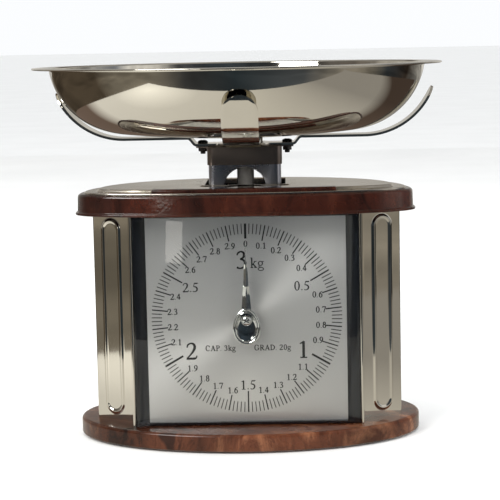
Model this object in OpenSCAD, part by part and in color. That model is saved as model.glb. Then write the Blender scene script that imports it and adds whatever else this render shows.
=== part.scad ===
// Mechanical kitchen scale with a drum-shaped case, a round 3 kg dial and a lift-off steel bowl.
// Millimetres, +Z up, +X to the right of the dial, the dial faces -Y.
// The origin is on the table, under the middle of the base.

/* [Base] */
// Width of the oval base, left to right
base_w = 202; // [190:1:215]
// Depth of the oval base, front to back
base_d = 134; // [128:1:145]
// Height of the table under the case
base_top = 11; // [10:0.5:14]
// How far the rubber feet stand below the base
foot_lift = 1.2; // [0.8:0.1:2]
// Diameter of a rubber foot
foot_dia = 14; // [10:1:18]
// Wall of the hollow base moulding
base_wall = 3; // [2.5:0.5:4]

/* [Case] */
// Half width of the steel wrap at its widest
wrap_half_w = 90; // [88:1:92]
// Y of the widest line of the wrap
wrap_mid_y = -13; // [-14:1:-12]
// How far the rounded back of the wrap runs behind its widest line
wrap_back = 61; // [60:1:62]
// Height of the visible part of the case between base and cap
case_h = 123; // [120:1:130]
// Sheet thickness of the wrap
wrap_t = 0.8; // [0.6:0.1:1.2]
// Half width of the front window box
window_half_w = 66; // [64:0.5:67]
// Y of the window box's front corners
window_y = -43; // [-44:0.5:-42]
// Y of the inner edge of the slanted column faces
recess_y = -27; // [-29:0.5:-25]
// Bulge of the window lens at its middle
lens_bulge = 6.5; // [4:0.5:8]
// Thickness of the window lens
lens_t = 2; // [1.5:0.25:2.5]
// Height of the raised bead on each column face
bead_h = 116; // [110:1:118]
// Width of the raised bead on each column face
bead_w = 14; // [11:0.5:16]

/* [Cap] */
// Half width of the wood-effect cap
cap_half_w = 97; // [96:0.5:100]
// Height of the cap's band
cap_h = 12; // [10:0.5:14]
// Half width of the raised ledge at the front of the cap
ledge_half_w = 53; // [45:1:58]
// How far the steel top plate rises over the cap
plate_rise = 2.6; // [2:0.2:4]

/* [Dial] */
// Height of the pointer axis over the table
dial_z = 73; // [70:1:76]
// Half width of the visible dial face
dial_half_w = 57.5; // [56:0.5:59]
// Y of the dial face
dial_y = -37; // [-38:0.5:-36.5]
// Length of the pointer from its axis to the tip
pointer_len = 45.5; // [42:0.5:48]

/* [Bowl] */
// Radius of the bowl's flat rim
bowl_r = 120; // [118:1:124]
// Depth of the bowl under its rim
bowl_depth = 42.5; // [41:0.5:43]
// Sheet thickness of the bowl
bowl_t = 1; // [0.8:0.1:1.2]
// How far the bowl sits to the left on its arms
bowl_shift = 4; // [0:0.5:4]

/* [Arms] */
// Width of the four arms
arm_w = 20; // [16:1:22]
// Sheet thickness of the arms
arm_t = 1.4; // [1.2:0.1:1.6]
// Reach of the arms' outer face from the middle
arm_reach = 111.1; // [110.5:0.1:112]

/* [Mechanism] */
// Distance between the two ends of a parallel link, along Y
link_run = 44; // [43:1:44]
// Y of the fixed ends of the parallel links
link_pivot_y = 38; // [38:0.5:38.5]
// Outside diameter of the main spring
spring_dia = 11; // [9:0.5:12]
// Wire diameter of the main spring
spring_wire = 1.4; // [1.2:0.1:1.5]

/* [Hidden] */
$fn = 96;
eps = 0.01;
oval_points = 96;

case_top = base_top + case_h;
cap_top = case_top + cap_h;
plate_top = cap_top + plate_rise;

// Pinion and rack: one turn of the pinion is the carrier's full travel.
gear_module = 0.5;
pinion_teeth = 10;
pitch_r = gear_module * pinion_teeth / 2;
travel = 2 * PI * pitch_r;

// Plan of the cap: a flattened front half and a rounder back half on one line.
cap_mid_y = -24;
cap_front = 32;
cap_back = 75;
front_power = 2.5;

// Column, saddle and arms.
column_w = 42;
column_d = 40;
column_t = 1.2;
column_bottom = 130;
saddle_bottom = 160.5;
saddle_top = 171;
saddle_t = 1.1;
arch_r = 12.4;
arch_z = 146.5;
flange_half = 29.2;
joggle_run = 3.2;
arm_flat_z = 175;
arm_curve_r = 43.6;
arm_screw_x = 24.9;
post_r = 5;

// Bowl section: a wall arc and a slightly bulged bottom that meet in one tangent.
wall_arc_r = 44.5;
wall_arc_x = 66;
wall_arc_rise = 5.7;
bottom_r = (pow(wall_arc_x, 2) + pow(bowl_depth + wall_arc_rise, 2) - pow(wall_arc_r, 2))
    / (2 * (bowl_depth + wall_arc_rise - wall_arc_r));
rest_r = flange_half + joggle_run - bowl_shift;
bowl_seat_gap = 0.05;
bowl_bottom_z = arm_flat_z + arm_t + bowl_seat_gap - pow(rest_r, 2) / (2 * bottom_r);
rim_z = bowl_bottom_z + bowl_depth;

// Chassis and load carrier.
cheek_x = 32;
sheet_t = 1.5;
web_y = -34;
chassis_top = 128;
leg_x = 18;
leg_t = 3;
leg_y = -6;
leg_d = 10;
crossbar_bottom = 121;
crossbar_h = 6;
foot_bar_z = 31;
foot_bar_h = 4;
pin_r = 2;
running_gap = 0.05;
half_travel = travel / 2;
link_angle = atan(half_travel / link_run);
link_x = 23;
link_t = 2;
lower_pivot_z = 36;
upper_pivot_z = 104;
shaft_r = 1.2;
bush_r = 4;
cage_half_w = 15;
cage_back_y = -5;
cage_h = 18;
gear_y0 = -12.5;
gear_w = 5;
rack_y0 = -12;
rack_w = 4;

// Zero adjuster and main spring.
spring_y = 37;
wheel_r = 14;
wheel_z = 112;
wheel_h = 6;
rod_r = 2;
hook_r = 4;
spring_top_z = 98;
spring_foot_z = 39;
spring_turns = 17;

// ---------- shared shapes ----------

// Signed power, for a curve that is flatter than an ellipse.
function bend(v, p) = sign(v) * pow(abs(v), 2 / p);

// Closed plan curve: a front half of one depth and power, and an elliptical back half.
function oval(half_w, front, back, mid_y, p) = [
    for (i = [0:oval_points - 1])
        let (a = 360 * i / oval_points, s = sin(a), q = s < 0 ? p : 2)
            [half_w * bend(cos(a), q), mid_y + (s < 0 ? front : back) * bend(s, q)]
];

// The cap's plan, moved inwards all round by a distance.
function cap_plan(inset) =
    oval(cap_half_w - inset, cap_front - inset, cap_back - inset, cap_mid_y, front_power);

// The base's plan, moved inwards all round by a distance.
function base_plan(inset) =
    oval(base_w / 2 - inset, base_d / 2 - inset, base_d / 2 - inset, 0, 2);

// Solid skinned over plans of equally many points, one for each height, from the bottom up.
module loft(plans, heights) {
    n = len(plans[0]);
    last = (len(plans) - 1) * n;
    polyhedron(
        points = [for (i = [0:len(plans) - 1], p = plans[i]) [p[0], p[1], heights[i]]],
        faces = concat(
            [[for (k = [0:n - 1]) k]],
            [
                for (i = [0:len(plans) - 2], k = [0:n - 1])
                    [(i + 1) * n + k, (i + 1) * n + (k + 1) % n, i * n + (k + 1) % n, i * n + k]
            ],
            [[for (k = [n - 1:-1:0]) last + k]]
        )
    );
}

// Mirrored pair about the plane x = 0.
module both_sides() {
    children();
    mirror([1, 0, 0])
        children();
}

// Rectangle with round corners, drawn from true circles.
module round_rect(w, d, r) {
    square([w - 2 * r, d], center = true);
    square([w, d - 2 * r], center = true);
    for (x = [-1, 1], y = [-1, 1])
        translate([x * (w / 2 - r), y * (d / 2 - r)])
            circle(r);
}

// Slot outline: length from end to end along X, w across.
module slot_2d(length, w) {
    square([length - w, w], center = true);
    for (x = [-1, 1])
        translate([x * (length - w) / 2, 0])
            circle(w / 2);
}

// Cylinder along X from x0 to x1.
module bar_x(x0, x1, r) {
    translate([x0, 0, 0])
        rotate([0, 90, 0])
            cylinder(h = x1 - x0, r = r);
}

// Cylinder along Y from y0 to y1.
module bar_y(y0, y1, r) {
    translate([0, y1, 0])
        rotate([90, 0, 0])
            cylinder(h = y1 - y0, r = r);
}

// Domed screw head that stands on z = 0.
module dome_head(r, h) {
    ball_r = (r * r + h * h) / (2 * h);
    intersection() {
        translate([0, 0, h - ball_r])
            sphere(ball_r);
        cylinder(h = h, r = r);
    }
}

// ---------- base ----------

foot_x = 72;
foot_y = 34;
base_screw_x = 39;
base_screw_y = [-26, 26];
boss_r = 5;

module foot_places() {
    for (x = [-1, 1], y = [-1, 1])
        translate([x * foot_x, y * foot_y, 0])
            children();
}

module base_screw_places() {
    for (x = [-1, 1], y = base_screw_y)
        translate([x * base_screw_x, y, 0])
            children();
}

// Oval moulding, hollow underneath, with bosses for the feet and the chassis screws.
module base_plinth() {
    rim = 2.2;
    edge = 0.8;
    color("saddlebrown")
        difference() {
            loft(
                [for (inset = [edge, 0, 0, 0.3 * rim, rim]) base_plan(inset)],
                [foot_lift, foot_lift + edge, base_top - rim, base_top - 0.35 * rim, base_top]
            );
            difference() {
                translate([0, 0, foot_lift - 1])
                    linear_extrude(base_top - base_wall - foot_lift + 1)
                        polygon(base_plan(base_wall));
                foot_places()
                    cylinder(h = base_top, r = foot_dia / 2 + 2);
                base_screw_places()
                    cylinder(h = base_top, r = boss_r);
                translate([-base_w / 2 + 2, -1, 0])
                    cube([base_w - 4, 2, base_top]);
                translate([-1, -base_d / 2 + 2, 0])
                    cube([2, base_d - 4, base_top]);
            }
            foot_places()
                translate([0, 0, -1])
                    cylinder(h = foot_lift + 2.8, r = foot_dia / 2);
            base_screw_places() {
                translate([0, 0, -1])
                    cylinder(h = base_top + 2, r = 2.1);
                translate([0, 0, -1])
                    cylinder(h = 5 + 1, r = 3.9);
            }
        }
}

// Four pads that plug into the base.
module rubber_feet() {
    color("dimgray")
        foot_places() {
            cylinder(h = foot_lift + 1.8, r = foot_dia / 2 - 0.05);
        }
}

// Four screws from below that hold the chassis to the base.
module base_screws() {
    color("silver")
        base_screw_places() {
            translate([0, 0, 5])
                mirror([0, 0, 1])
                    dome_head(3.6, 2.2);
            translate([0, 0, 5 - eps])
                cylinder(h = base_top + sheet_t + 2 - 5, r = 1.95);
        }
}

// Rubber pad on the base that the carrier meets when the scale is overloaded.
module overload_stop() {
    color("dimgray")
        translate([0, leg_y, base_top])
            cylinder(h = foot_bar_z - travel - 0.5 - base_top, r = 6);
}

// ---------- case ----------

// Half of the wrap's plan from the front hem round to the back, at an inset.
function wrap_half(inset) = concat(
    [
        [window_half_w - inset, window_y],
        [window_half_w - inset, recess_y + 0.6 * inset],
    ],
    [
        for (i = [0:24])
            let (a = 90 * i / 24)
                [(wrap_half_w - inset) * cos(a), wrap_mid_y + (wrap_back - inset) * sin(a)]
    ]
);

function mirrored(points) = [
    for (i = [len(points) - 1:-1:0])
        if (points[i][0] > eps) [-points[i][0], points[i][1]]
];

function wrap_path(inset) = concat(wrap_half(inset), mirrored(wrap_half(inset)));

function reversed(points) = [for (i = [len(points) - 1:-1:0]) points[i]];

// Middle and direction of a slanted column face.
face_dx = wrap_half_w - window_half_w;
face_dy = wrap_mid_y - recess_y;
face_angle = atan(face_dy / face_dx);
face_mid = [(wrap_half_w + window_half_w) / 2 + 1, (wrap_mid_y + recess_y) / 2 + 0.6];

// Raised bead round a column face.
module column_bead() {
    bead = 2.8;
    rise = 1;
    translate([face_mid[0], face_mid[1], base_top + case_h / 2])
        rotate([0, 0, face_angle])
            rotate([90, 90, 0])
                translate([0, 0, -0.3])
                    linear_extrude(rise + 0.3)
                        difference() {
                            slot_2d(bead_h, bead_w);
                            slot_2d(bead_h - 2 * bead, bead_w - 2 * bead);
                        }
}

// Folded steel sheet: two slanted column faces, the sides and the back, open at the window.
module steel_wrap() {
    wheel_slot_w = 23;
    color("gainsboro")
        difference() {
            union() {
                translate([0, 0, base_top])
                    linear_extrude(case_h)
                        polygon(concat(wrap_path(0), reversed(wrap_path(wrap_t))));
                both_sides()
                    column_bead();
            }
            translate([-wheel_slot_w / 2, wrap_mid_y + wrap_back - 4, wheel_z - 1.3])
                cube([wheel_slot_w, 6, wheel_h + 2.6]);
        }
}

ledge_top = cap_top + 3.2;
hole_w = 47;
hole_d = 45;

// Plan of the ledge: a strip that follows the front of the cap, grown by a gap all round.
module ledge_2d(gap) {
    inset = 6;
    depth = 9;
    intersection() {
        difference() {
            polygon(cap_plan(inset - gap));
            translate([0, depth + 2 * gap])
                polygon(cap_plan(inset - gap));
        }
        translate([-ledge_half_w - gap, -80])
            square([2 * (ledge_half_w + gap), 60]);
    }
}

// Wood-effect cap: a deep rounded band, a lip under it, a deck and the front ledge.
module cap_moulding() {
    band_wall = 2.2;
    deck = 2.4;
    lip_h = 1.4;
    lip = 1.3;
    rim = 2.4;
    color("saddlebrown")
        difference() {
            union() {
                loft(
                    [for (inset = [0, 0.3, 1, rim + 0.3]) cap_plan(inset)],
                    [case_top, cap_top - rim, cap_top - 0.4 * rim, cap_top]
                );
                translate([0, 0, case_top])
                    linear_extrude(lip_h)
                        polygon(cap_plan(-lip));
                translate([0, 0, cap_top - 1])
                    linear_extrude(ledge_top - cap_top + 1)
                        ledge_2d(0);
            }
            translate([0, 0, case_top - 1])
                linear_extrude(cap_h + 1 - deck)
                    polygon(cap_plan(band_wall));
            translate([0, 0, case_top + cap_h / 2])
                linear_extrude(cap_h * 2)
                    round_rect(hole_w + 4, hole_d + 4, 4);
        }
}

// Polished plate with a raised middle and the opening for the column.
module top_plate() {
    sheet = 1;
    step = 7;
    slot_y = [-11, 11];
    color("gainsboro")
        difference() {
            union() {
                translate([0, 0, cap_top])
                    linear_extrude(sheet)
                        polygon(cap_plan(4));
                loft(
                    [for (inset = [0, 0.4, 2, 3.6]) cap_plan(step + 4 + inset)],
                    [cap_top + 0.2, plate_top - 1.2, plate_top - 0.3, plate_top]
                );
                translate([0, 0, cap_top + 0.5])
                    linear_extrude(plate_rise + 0.1)
                        round_rect(hole_w + 5, hole_d + 5, 5);
            }
            translate([0, 0, cap_top - 1])
                linear_extrude(plate_rise + 1 - sheet)
                    polygon(cap_plan(step + 7.6));
            translate([0, 0, cap_top - 1])
                linear_extrude(10)
                    round_rect(hole_w, hole_d, 3.5);
            translate([0, 0, cap_top - 1])
                linear_extrude(10)
                    ledge_2d(0.15);
            for (x = [-1, 1], y = slot_y)
                translate([x * (hole_w / 2 + 4.6), y, cap_top - 1])
                    linear_extrude(10)
                        slot_2d(3.6, 1);
        }
}

// ---------- dial and window ----------

lens_arc_r = (pow(window_half_w - 1, 2) + pow(lens_bulge, 2)) / (2 * lens_bulge);
lens_front_y = window_y - lens_bulge;

// Black frame between the lens and the dial face, with slanted side walls.
module dial_bezel() {
    front = window_y + 2.6;
    back = dial_y + 2.2;
    outer = window_half_w - wrap_t - 0.2;
    bar = 1.4;
    color("black")
        difference() {
            translate([-outer, front, base_top + 0.4])
                cube([2 * outer, back - front, case_h - 0.8]);
            translate([0, 0, base_top + 0.4 + bar])
                linear_extrude(case_h - 0.8 - 2 * bar)
                    polygon([
                        [-outer + 1.5, front - 1], [outer - 1.5, front - 1],
                        [outer - 1.5, front], [dial_half_w, dial_y],
                        [-dial_half_w, dial_y], [-outer + 1.5, front],
                    ]);
            translate([-outer + 1.2, dial_y, base_top + 1.2])
                cube([2 * outer - 2.4, 5, case_h - 2.4]);
        }
}

// Flat dial sheet behind the bezel.
module dial_plate() {
    half_w = window_half_w - wrap_t - 1.6;
    color("lightgray")
        difference() {
            translate([-half_w, dial_y + 0.02, base_top + 1.4])
                cube([2 * half_w, 0.8, case_h - 2.8]);
            translate([0, 0, dial_z])
                bar_y(dial_y - 1, dial_y + 3, bush_r + 0.4);
        }
}

// Clear window, bowed forward about an upright axis, with a return along each side.
module front_lens() {
    half_w = window_half_w - wrap_t - 0.2;
    color("white", 0.3)
        translate([0, 0, base_top + 0.2])
            linear_extrude(case_h - 0.4)
                difference() {
                    intersection() {
                        translate([0, lens_front_y + lens_arc_r])
                            circle(lens_arc_r, $fn = 256);
                        translate([-half_w, lens_front_y - 1])
                            square([2 * half_w, lens_bulge + 3.4]);
                    }
                    intersection() {
                        translate([0, lens_front_y + lens_arc_r])
                            circle(lens_arc_r - lens_t, $fn = 256);
                        translate([-half_w + 1.2, lens_front_y - 1])
                            square([2 * half_w - 2.4, lens_bulge + 5]);
                    }
                }
}

// ---------- chassis ----------

bracket_z = 119.5;
stop_gap = 0.4;

// Folded sheet: front web, two cheeks, feet on the base and a rest stop over the carrier.
module chassis_frame() {
    foot_w = 14;
    cheek_y1 = 41;
    foot_y1 = 32;
    window_z = [48, 98];
    color("darkgray")
        difference() {
            union() {
                translate([-cheek_x - sheet_t, web_y, base_top])
                    cube([2 * (cheek_x + sheet_t), sheet_t, chassis_top - base_top]);
                both_sides() {
                    translate([cheek_x, web_y, base_top])
                        cube([sheet_t, cheek_y1 - web_y, chassis_top - base_top]);
                    translate([cheek_x, -foot_y1, base_top])
                        cube([foot_w, 2 * foot_y1, sheet_t]);
                    translate([8, web_y, foot_bar_z + foot_bar_h + stop_gap])
                        cube([5, 30, 2]);
                }
            }
            both_sides()
                for (z = [lower_pivot_z, upper_pivot_z])
                    translate([0, link_pivot_y, z])
                        bar_x(cheek_x - 1, cheek_x + sheet_t + 1, pin_r);
            both_sides()
                translate([cheek_x - 1, -24, window_z[0]])
                    cube([sheet_t + 2, 44, window_z[1] - window_z[0]]);
            both_sides()
                for (y = [31, 36])
                    translate([0, y, bracket_z - 3.5])
                        bar_x(cheek_x - 1, cheek_x + sheet_t + 1, 0.8);
            translate([0, 0, dial_z])
                bar_y(web_y - 1, web_y + sheet_t + 1, bush_r);
            for (x = [-1, 1])
                translate([x * 10.5, 0, dial_z + 6])
                    bar_y(web_y - 1, web_y + sheet_t + 1, 1.05);
            base_screw_places()
                translate([0, 0, base_top - 1])
                    cylinder(h = sheet_t + 2, r = 2);
        }
}

cage_z0 = dial_z - cage_h / 2;

// Channel behind the web that carries the rear end of the pointer shaft.
module movement_cage() {
    front = web_y + sheet_t;
    lug = 6;
    color("goldenrod")
        difference() {
            union() {
                translate([-cage_half_w, cage_back_y, cage_z0])
                    cube([2 * cage_half_w, sheet_t, cage_h]);
                both_sides() {
                    translate([cage_half_w - sheet_t, front, cage_z0])
                        cube([sheet_t, cage_back_y - front + eps, cage_h]);
                    translate([cage_half_w - sheet_t - lug, front, cage_z0])
                        cube([lug + eps, sheet_t, cage_h]);
                }
            }
            translate([0, 0, dial_z])
                bar_y(cage_back_y - 1, cage_back_y + sheet_t + 1, bush_r - 1);
            for (x = [-1, 1])
                translate([x * 10.5, 0, dial_z + 6])
                    bar_y(front - 1, front + sheet_t + 1, 1.05);
        }
}

// Two screws that hold the cage to the web.
module cage_screws() {
    color("silver")
        for (x = [-1, 1])
            translate([x * 10.5, 0, dial_z + 6]) {
                bar_y(web_y - 1, web_y + 2 * sheet_t + 2.5, 1);
                translate([0, web_y, 0])
                    rotate([90, 0, 0])
                        dome_head(2, 1.2);
            }
}

// Front and rear bearing bushes of the pointer shaft.
module shaft_bushes() {
    bore = shaft_r + running_gap;
    color("peru")
        translate([0, 0, dial_z])
            difference() {
                union() {
                    bar_y(web_y - 2, web_y + sheet_t + 2, bush_r);
                    bar_y(web_y + sheet_t, web_y + sheet_t + 1.5, bush_r + 1);
                    bar_y(cage_back_y - 0.6, cage_back_y + sheet_t + 0.6, bush_r - 1);
                }
                bar_y(web_y - 5, 5, bore);
            }
}

// Four shouldered studs on which the links turn.
module link_pivots() {
    color("silver")
        both_sides()
            for (z = [lower_pivot_z, upper_pivot_z])
                translate([0, link_pivot_y, z]) {
                    bar_x(link_x - link_t / 2 - 1, cheek_x + sheet_t + 0.6, pin_r);
                    bar_x(link_x - link_t / 2 - 1.4, link_x - link_t / 2 - 0.4, pin_r + 0.9);
                    bar_x(link_x + link_t / 2 + 0.4, cheek_x, pin_r + 0.9);
                }
}

// ---------- zero adjuster ----------

// Bridge between the cheeks with a pocket that traps the thumbwheel.
module zero_bracket() {
    pocket = 18;
    plate_y0 = 28;
    plate_d = 13;
    flap_h = 7;
    floor_z = wheel_z - 3;
    color("darkgray")
        difference() {
            union() {
                translate([-cheek_x, plate_y0, bracket_z])
                    cube([2 * cheek_x, plate_d, sheet_t]);
                both_sides() {
                    translate([cheek_x - sheet_t, plate_y0, bracket_z - flap_h])
                        cube([sheet_t, plate_d, flap_h + eps]);
                    translate([pocket, plate_y0, floor_z])
                        cube([sheet_t, plate_d, bracket_z - floor_z + eps]);
                }
                translate([-pocket - sheet_t, plate_y0, floor_z])
                    cube([2 * (pocket + sheet_t), plate_d, sheet_t]);
            }
            translate([0, spring_y, floor_z - 1])
                cylinder(h = 20, r = rod_r + 0.15);
            both_sides()
                for (y = [31, 36])
                    translate([0, y, bracket_z - 3.5])
                        bar_x(cheek_x - sheet_t - 1, cheek_x + 1, 0.8);
        }
}

// Four small screws that hold the bridge to the cheeks.
module bracket_screws() {
    color("silver")
        both_sides()
            for (y = [31, 36])
                translate([0, y, bracket_z - 3.5]) {
                    bar_x(cheek_x - sheet_t - 0.6, cheek_x + sheet_t + eps, 0.8);
                    translate([cheek_x + sheet_t, 0, 0])
                        rotate([0, 90, 0])
                            dome_head(1.7, 1);
                }
}

// Knurled thumbwheel that turns on the zero rod and shows at the back of the case.
module zero_wheel() {
    notches = 36;
    color("black")
        difference() {
            union() {
                translate([0, spring_y, wheel_z])
                    cylinder(h = wheel_h, r = wheel_r);
                translate([0, spring_y, wheel_z - 1])
                    cylinder(h = wheel_h + 2, r = 5);
            }
            translate([0, spring_y, wheel_z - 2])
                cylinder(h = wheel_h + 4, r = rod_r + running_gap);
            for (i = [0:notches - 1])
                translate([0, spring_y, wheel_z - 1])
                    rotate([0, 0, 360 * i / notches])
                        translate([wheel_r + 0.35, 0, 0])
                            cylinder(h = wheel_h + 2, r = 0.8, $fn = 24);
        }
}

// Rod that the wheel raises and lowers, with an eye for the spring.
module zero_rod() {
    eye_z = spring_top_z + 0.45;
    color("silver")
        translate([0, spring_y, 0])
            difference() {
                union() {
                    translate([0, 0, eye_z + 1])
                        cylinder(h = bracket_z + 5 - eye_z - 1, r = rod_r);
                    translate([0, 0, eye_z])
                        bar_y(-1, 1, 3);
                }
                translate([0, 0, eye_z])
                    bar_y(-3, 3, 1.3);
            }
}

// ---------- main spring ----------

coil_r = (spring_dia - spring_wire) / 2;
coil_top = spring_top_z - 2 * hook_r + 0.5;
coil_foot = spring_foot_z + 2 * hook_r - 0.5;
hook_steps = 9;
turn_steps = 12;
wire_sides = 6;

// Points of the wire: a hook in the YZ plane, the coil, and the other hook.
function hook_point(z_mid, side, a) = [0, hook_r * cos(a), z_mid + side * hook_r * sin(a)];

spring_points = concat(
    [for (i = [0:hook_steps]) hook_point(spring_top_z - hook_r, 1, 205 - 230 * i / hook_steps)],
    [
        for (i = [0:spring_turns * turn_steps])
            let (a = 90 - 360 * i / turn_steps, f = i / (spring_turns * turn_steps))
                [coil_r * cos(a), coil_r * sin(a), coil_top + (coil_foot - coil_top) * f]
    ],
    [for (i = [0:hook_steps]) hook_point(spring_foot_z + hook_r, -1, -25 + 230 * i / hook_steps)]
);

function unit(v) = v / norm(v);

function tangent(points, i) =
    unit(points[min(i + 1, len(points) - 1)] - points[max(i - 1, 0)]);

// Each ring's side vector is the last one, turned square to the new direction.
function side_vectors(points, i, last) =
    i >= len(points) ? [] :
    let (t = tangent(points, i), s = unit(last - (last * t) * t))
        concat([s], side_vectors(points, i + 1, s));

function ring(p, t, s, r, n) = [
    for (k = [0:n - 1])
        let (a = 360 * k / n)
            p + r * (cos(a) * s + sin(a) * cross(t, s))
];

// Tube of n sides along a list of points.
module tube(points, r, n) {
    sides = side_vectors(points, 0, [1, 0, 0.01]);
    rings = [for (i = [0:len(points) - 1]) each ring(points[i], tangent(points, i), sides[i], r, n)];
    last = (len(points) - 1) * n;
    polyhedron(
        points = rings,
        faces = concat(
            [[for (k = [n - 1:-1:0]) k]],
            [
                for (i = [0:len(points) - 2], k = [0:n - 1])
                    [i * n + k, i * n + (k + 1) % n, (i + 1) * n + (k + 1) % n]
            ],
            [
                for (i = [0:len(points) - 2], k = [0:n - 1])
                    [i * n + k, (i + 1) * n + (k + 1) % n, (i + 1) * n + k]
            ],
            [[for (k = [0:n - 1]) last + k]]
        )
    );
}

// Extension spring between the zero rod and the carrier.
module main_spring() {
    color("gray")
        translate([0, spring_y, 0])
            tube(spring_points, spring_wire / 2, wire_sides);
}

// ---------- load carrier ----------

// Casting: post, crossbar, two legs with the link pin bores, foot bar and the spring arm.
module carrier_frame() {
    arm_half_w = 5;
    lug_z = spring_foot_z - 0.45;
    color("darkgray")
        difference() {
            union() {
                translate([0, 0, crossbar_bottom])
                    cylinder(h = saddle_top - saddle_t - crossbar_bottom, r = post_r);
                translate([-leg_x - leg_t / 2, rack_y0 + rack_w, crossbar_bottom])
                    cube([2 * leg_x + leg_t, 16, crossbar_h]);
                both_sides()
                    translate([leg_x - leg_t / 2, leg_y - leg_d / 2, foot_bar_z])
                        cube([leg_t, leg_d, crossbar_bottom + crossbar_h - foot_bar_z]);
                translate([-leg_x - leg_t / 2, leg_y - leg_d / 2, foot_bar_z])
                    cube([2 * leg_x + leg_t, leg_d, foot_bar_h]);
                translate([-arm_half_w, leg_y, foot_bar_z])
                    cube([2 * arm_half_w, spring_y + 3 - leg_y, foot_bar_h]);
                translate([-3, spring_y - 1, foot_bar_z])
                    cube([6, 2, lug_z - foot_bar_z]);
                translate([0, spring_y, lug_z])
                    bar_y(-1, 1, 3);
            }
            for (z = [lower_pivot_z, upper_pivot_z])
                translate([0, leg_y, z + half_travel])
                    bar_x(-leg_x - leg_t, leg_x + leg_t, pin_r);
            translate([0, spring_y, lug_z])
                bar_y(-3, 3, 1.3);
            translate([0, 0, saddle_top - 12])
                cylinder(h = 20, r = 1.5);
            translate([5.5, 0, crossbar_bottom + crossbar_h / 2])
                bar_y(rack_y0 + rack_w - 1, rack_y0 + rack_w + 7, 0.9);
        }
}

// Four studs on the carrier's legs that the links hold.
module carrier_pins() {
    inner = leg_x - leg_t / 2;
    outer = link_x + link_t / 2;
    color("silver")
        both_sides()
            for (z = [lower_pivot_z, upper_pivot_z])
                translate([0, leg_y, z + half_travel]) {
                    bar_x(inner, outer + 1, pin_r);
                    bar_x(outer + 0.4, outer + 1.4, pin_r + 1);
                    bar_x(leg_x + leg_t / 2, link_x - link_t / 2 - 0.4, pin_r + 1);
                }
}

// A sheet-metal yoke: two arms and a web. It turns about its far end and slides on the studs.
module link(pivot_z) {
    reach = link_run / cos(link_angle);
    slot_mid = (reach + link_run) / 2;
    slot_play = reach - link_run + 0.5;
    arm_h = 7;
    web_at = [18, 32];
    color("silver")
        translate([0, link_pivot_y, pivot_z])
            rotate([-link_angle, 0, 0])
                difference() {
                    union() {
                        both_sides()
                            translate([link_x - link_t / 2, 0, 0])
                                rotate([90, 0, 90])
                                    linear_extrude(link_t) {
                                        translate([-slot_mid, -arm_h / 2])
                                            square([slot_mid, arm_h]);
                                        circle(arm_h / 2);
                                        translate([-slot_mid, 0])
                                            circle(arm_h / 2);
                                    }
                        translate([-link_x, -web_at[1], -sheet_t / 2])
                            cube([2 * link_x, web_at[1] - web_at[0], sheet_t]);
                    }
                    bar_x(-link_x - 5, link_x + 5, pin_r + running_gap);
                    both_sides()
                        translate([link_x - link_t, -slot_mid, 0])
                            rotate([90, 0, 90])
                                linear_extrude(2 * link_t)
                                    slot_2d(2 * pin_r + slot_play, 2 * pin_r + 0.2);
                }
}

module upper_link() {
    link(upper_pivot_z);
}

module lower_link() {
    link(lower_pivot_z);
}

// ---------- rack and pinion ----------

pressure = 25;
addendum = 0.84 * gear_module;
dedendum = 1.1 * gear_module;
play = 0.1;
tooth_pitch = PI * gear_module;
base_circle = pitch_r * cos(pressure);
tip_r = pitch_r + addendum;
root_r = pitch_r - dedendum;

// Involute of the base circle: polar angle at a radius.
function roll(r) = let (a = acos(base_circle / r)) tan(a) * 180 / PI - a;

// Half the angle of a pinion tooth at a radius.
function half_tooth(r) =
    (tooth_pitch / 2 - play / 2) / pitch_r * 90 / PI + roll(pitch_r) - roll(max(r, base_circle));

function polar(r, a) = [r * cos(a), r * sin(a)];

flank_steps = 5;

function flank_r(i) = base_circle + 0.001 + (tip_r - base_circle - 0.001) * i / flank_steps;

function tooth(mid) = concat(
    [polar(root_r, mid - half_tooth(base_circle) - 1.5)],
    [for (i = [0:flank_steps]) polar(flank_r(i), mid - half_tooth(flank_r(i)))],
    [for (i = [flank_steps:-1:0]) polar(flank_r(i), mid + half_tooth(flank_r(i)))],
    [polar(root_r, mid + half_tooth(base_circle) + 1.5)]
);

// Pinion: a tooth gap faces +X, where the rack's tooth stands at rest.
module pinion() {
    color("goldenrod")
        translate([0, gear_y0 + gear_w, dial_z])
            rotate([90, 0, 0])
                difference() {
                    linear_extrude(gear_w)
                        polygon([
                            for (i = [0:pinion_teeth - 1])
                                each tooth(360 * (i + 0.5) / pinion_teeth)
                        ]);
                    translate([0, 0, -1])
                        cylinder(h = gear_w + 2, r = shaft_r);
                }
}

rack_back = 8;
rack_foot = dial_z - 6;
rack_tooth_n = floor((travel + 10) / tooth_pitch);
rack_tip = pitch_r - addendum;
rack_root = pitch_r + dedendum;

// One rack tooth, its middle at height z.
function rack_tooth(z) =
    let (half = tooth_pitch / 4 - play / 4, s = tan(pressure))
        [
            [rack_root, z - half - dedendum * s],
            [rack_tip, z - half + addendum * s],
            [rack_tip, z + half - addendum * s],
            [rack_root, z + half + dedendum * s],
        ];

// Rack that hangs from the carrier's crossbar beside the pinion.
module toothed_rack() {
    top = crossbar_bottom + crossbar_h;
    color("goldenrod")
        difference() {
            translate([0, rack_y0 + rack_w, 0])
                rotate([90, 0, 0])
                    linear_extrude(rack_w)
                        polygon(concat(
                            [[rack_back, top], [rack_back, rack_foot], [rack_root, rack_foot]],
                            [
                                for (i = [-3:rack_tooth_n - 3])
                                    each rack_tooth(dial_z + i * tooth_pitch)
                            ],
                            [[rack_root, top]]
                        ));
            translate([5.5, 0, crossbar_bottom + crossbar_h / 2])
                bar_y(rack_y0 - 1, rack_y0 + rack_w + 1, 0.9);
        }
}

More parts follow.
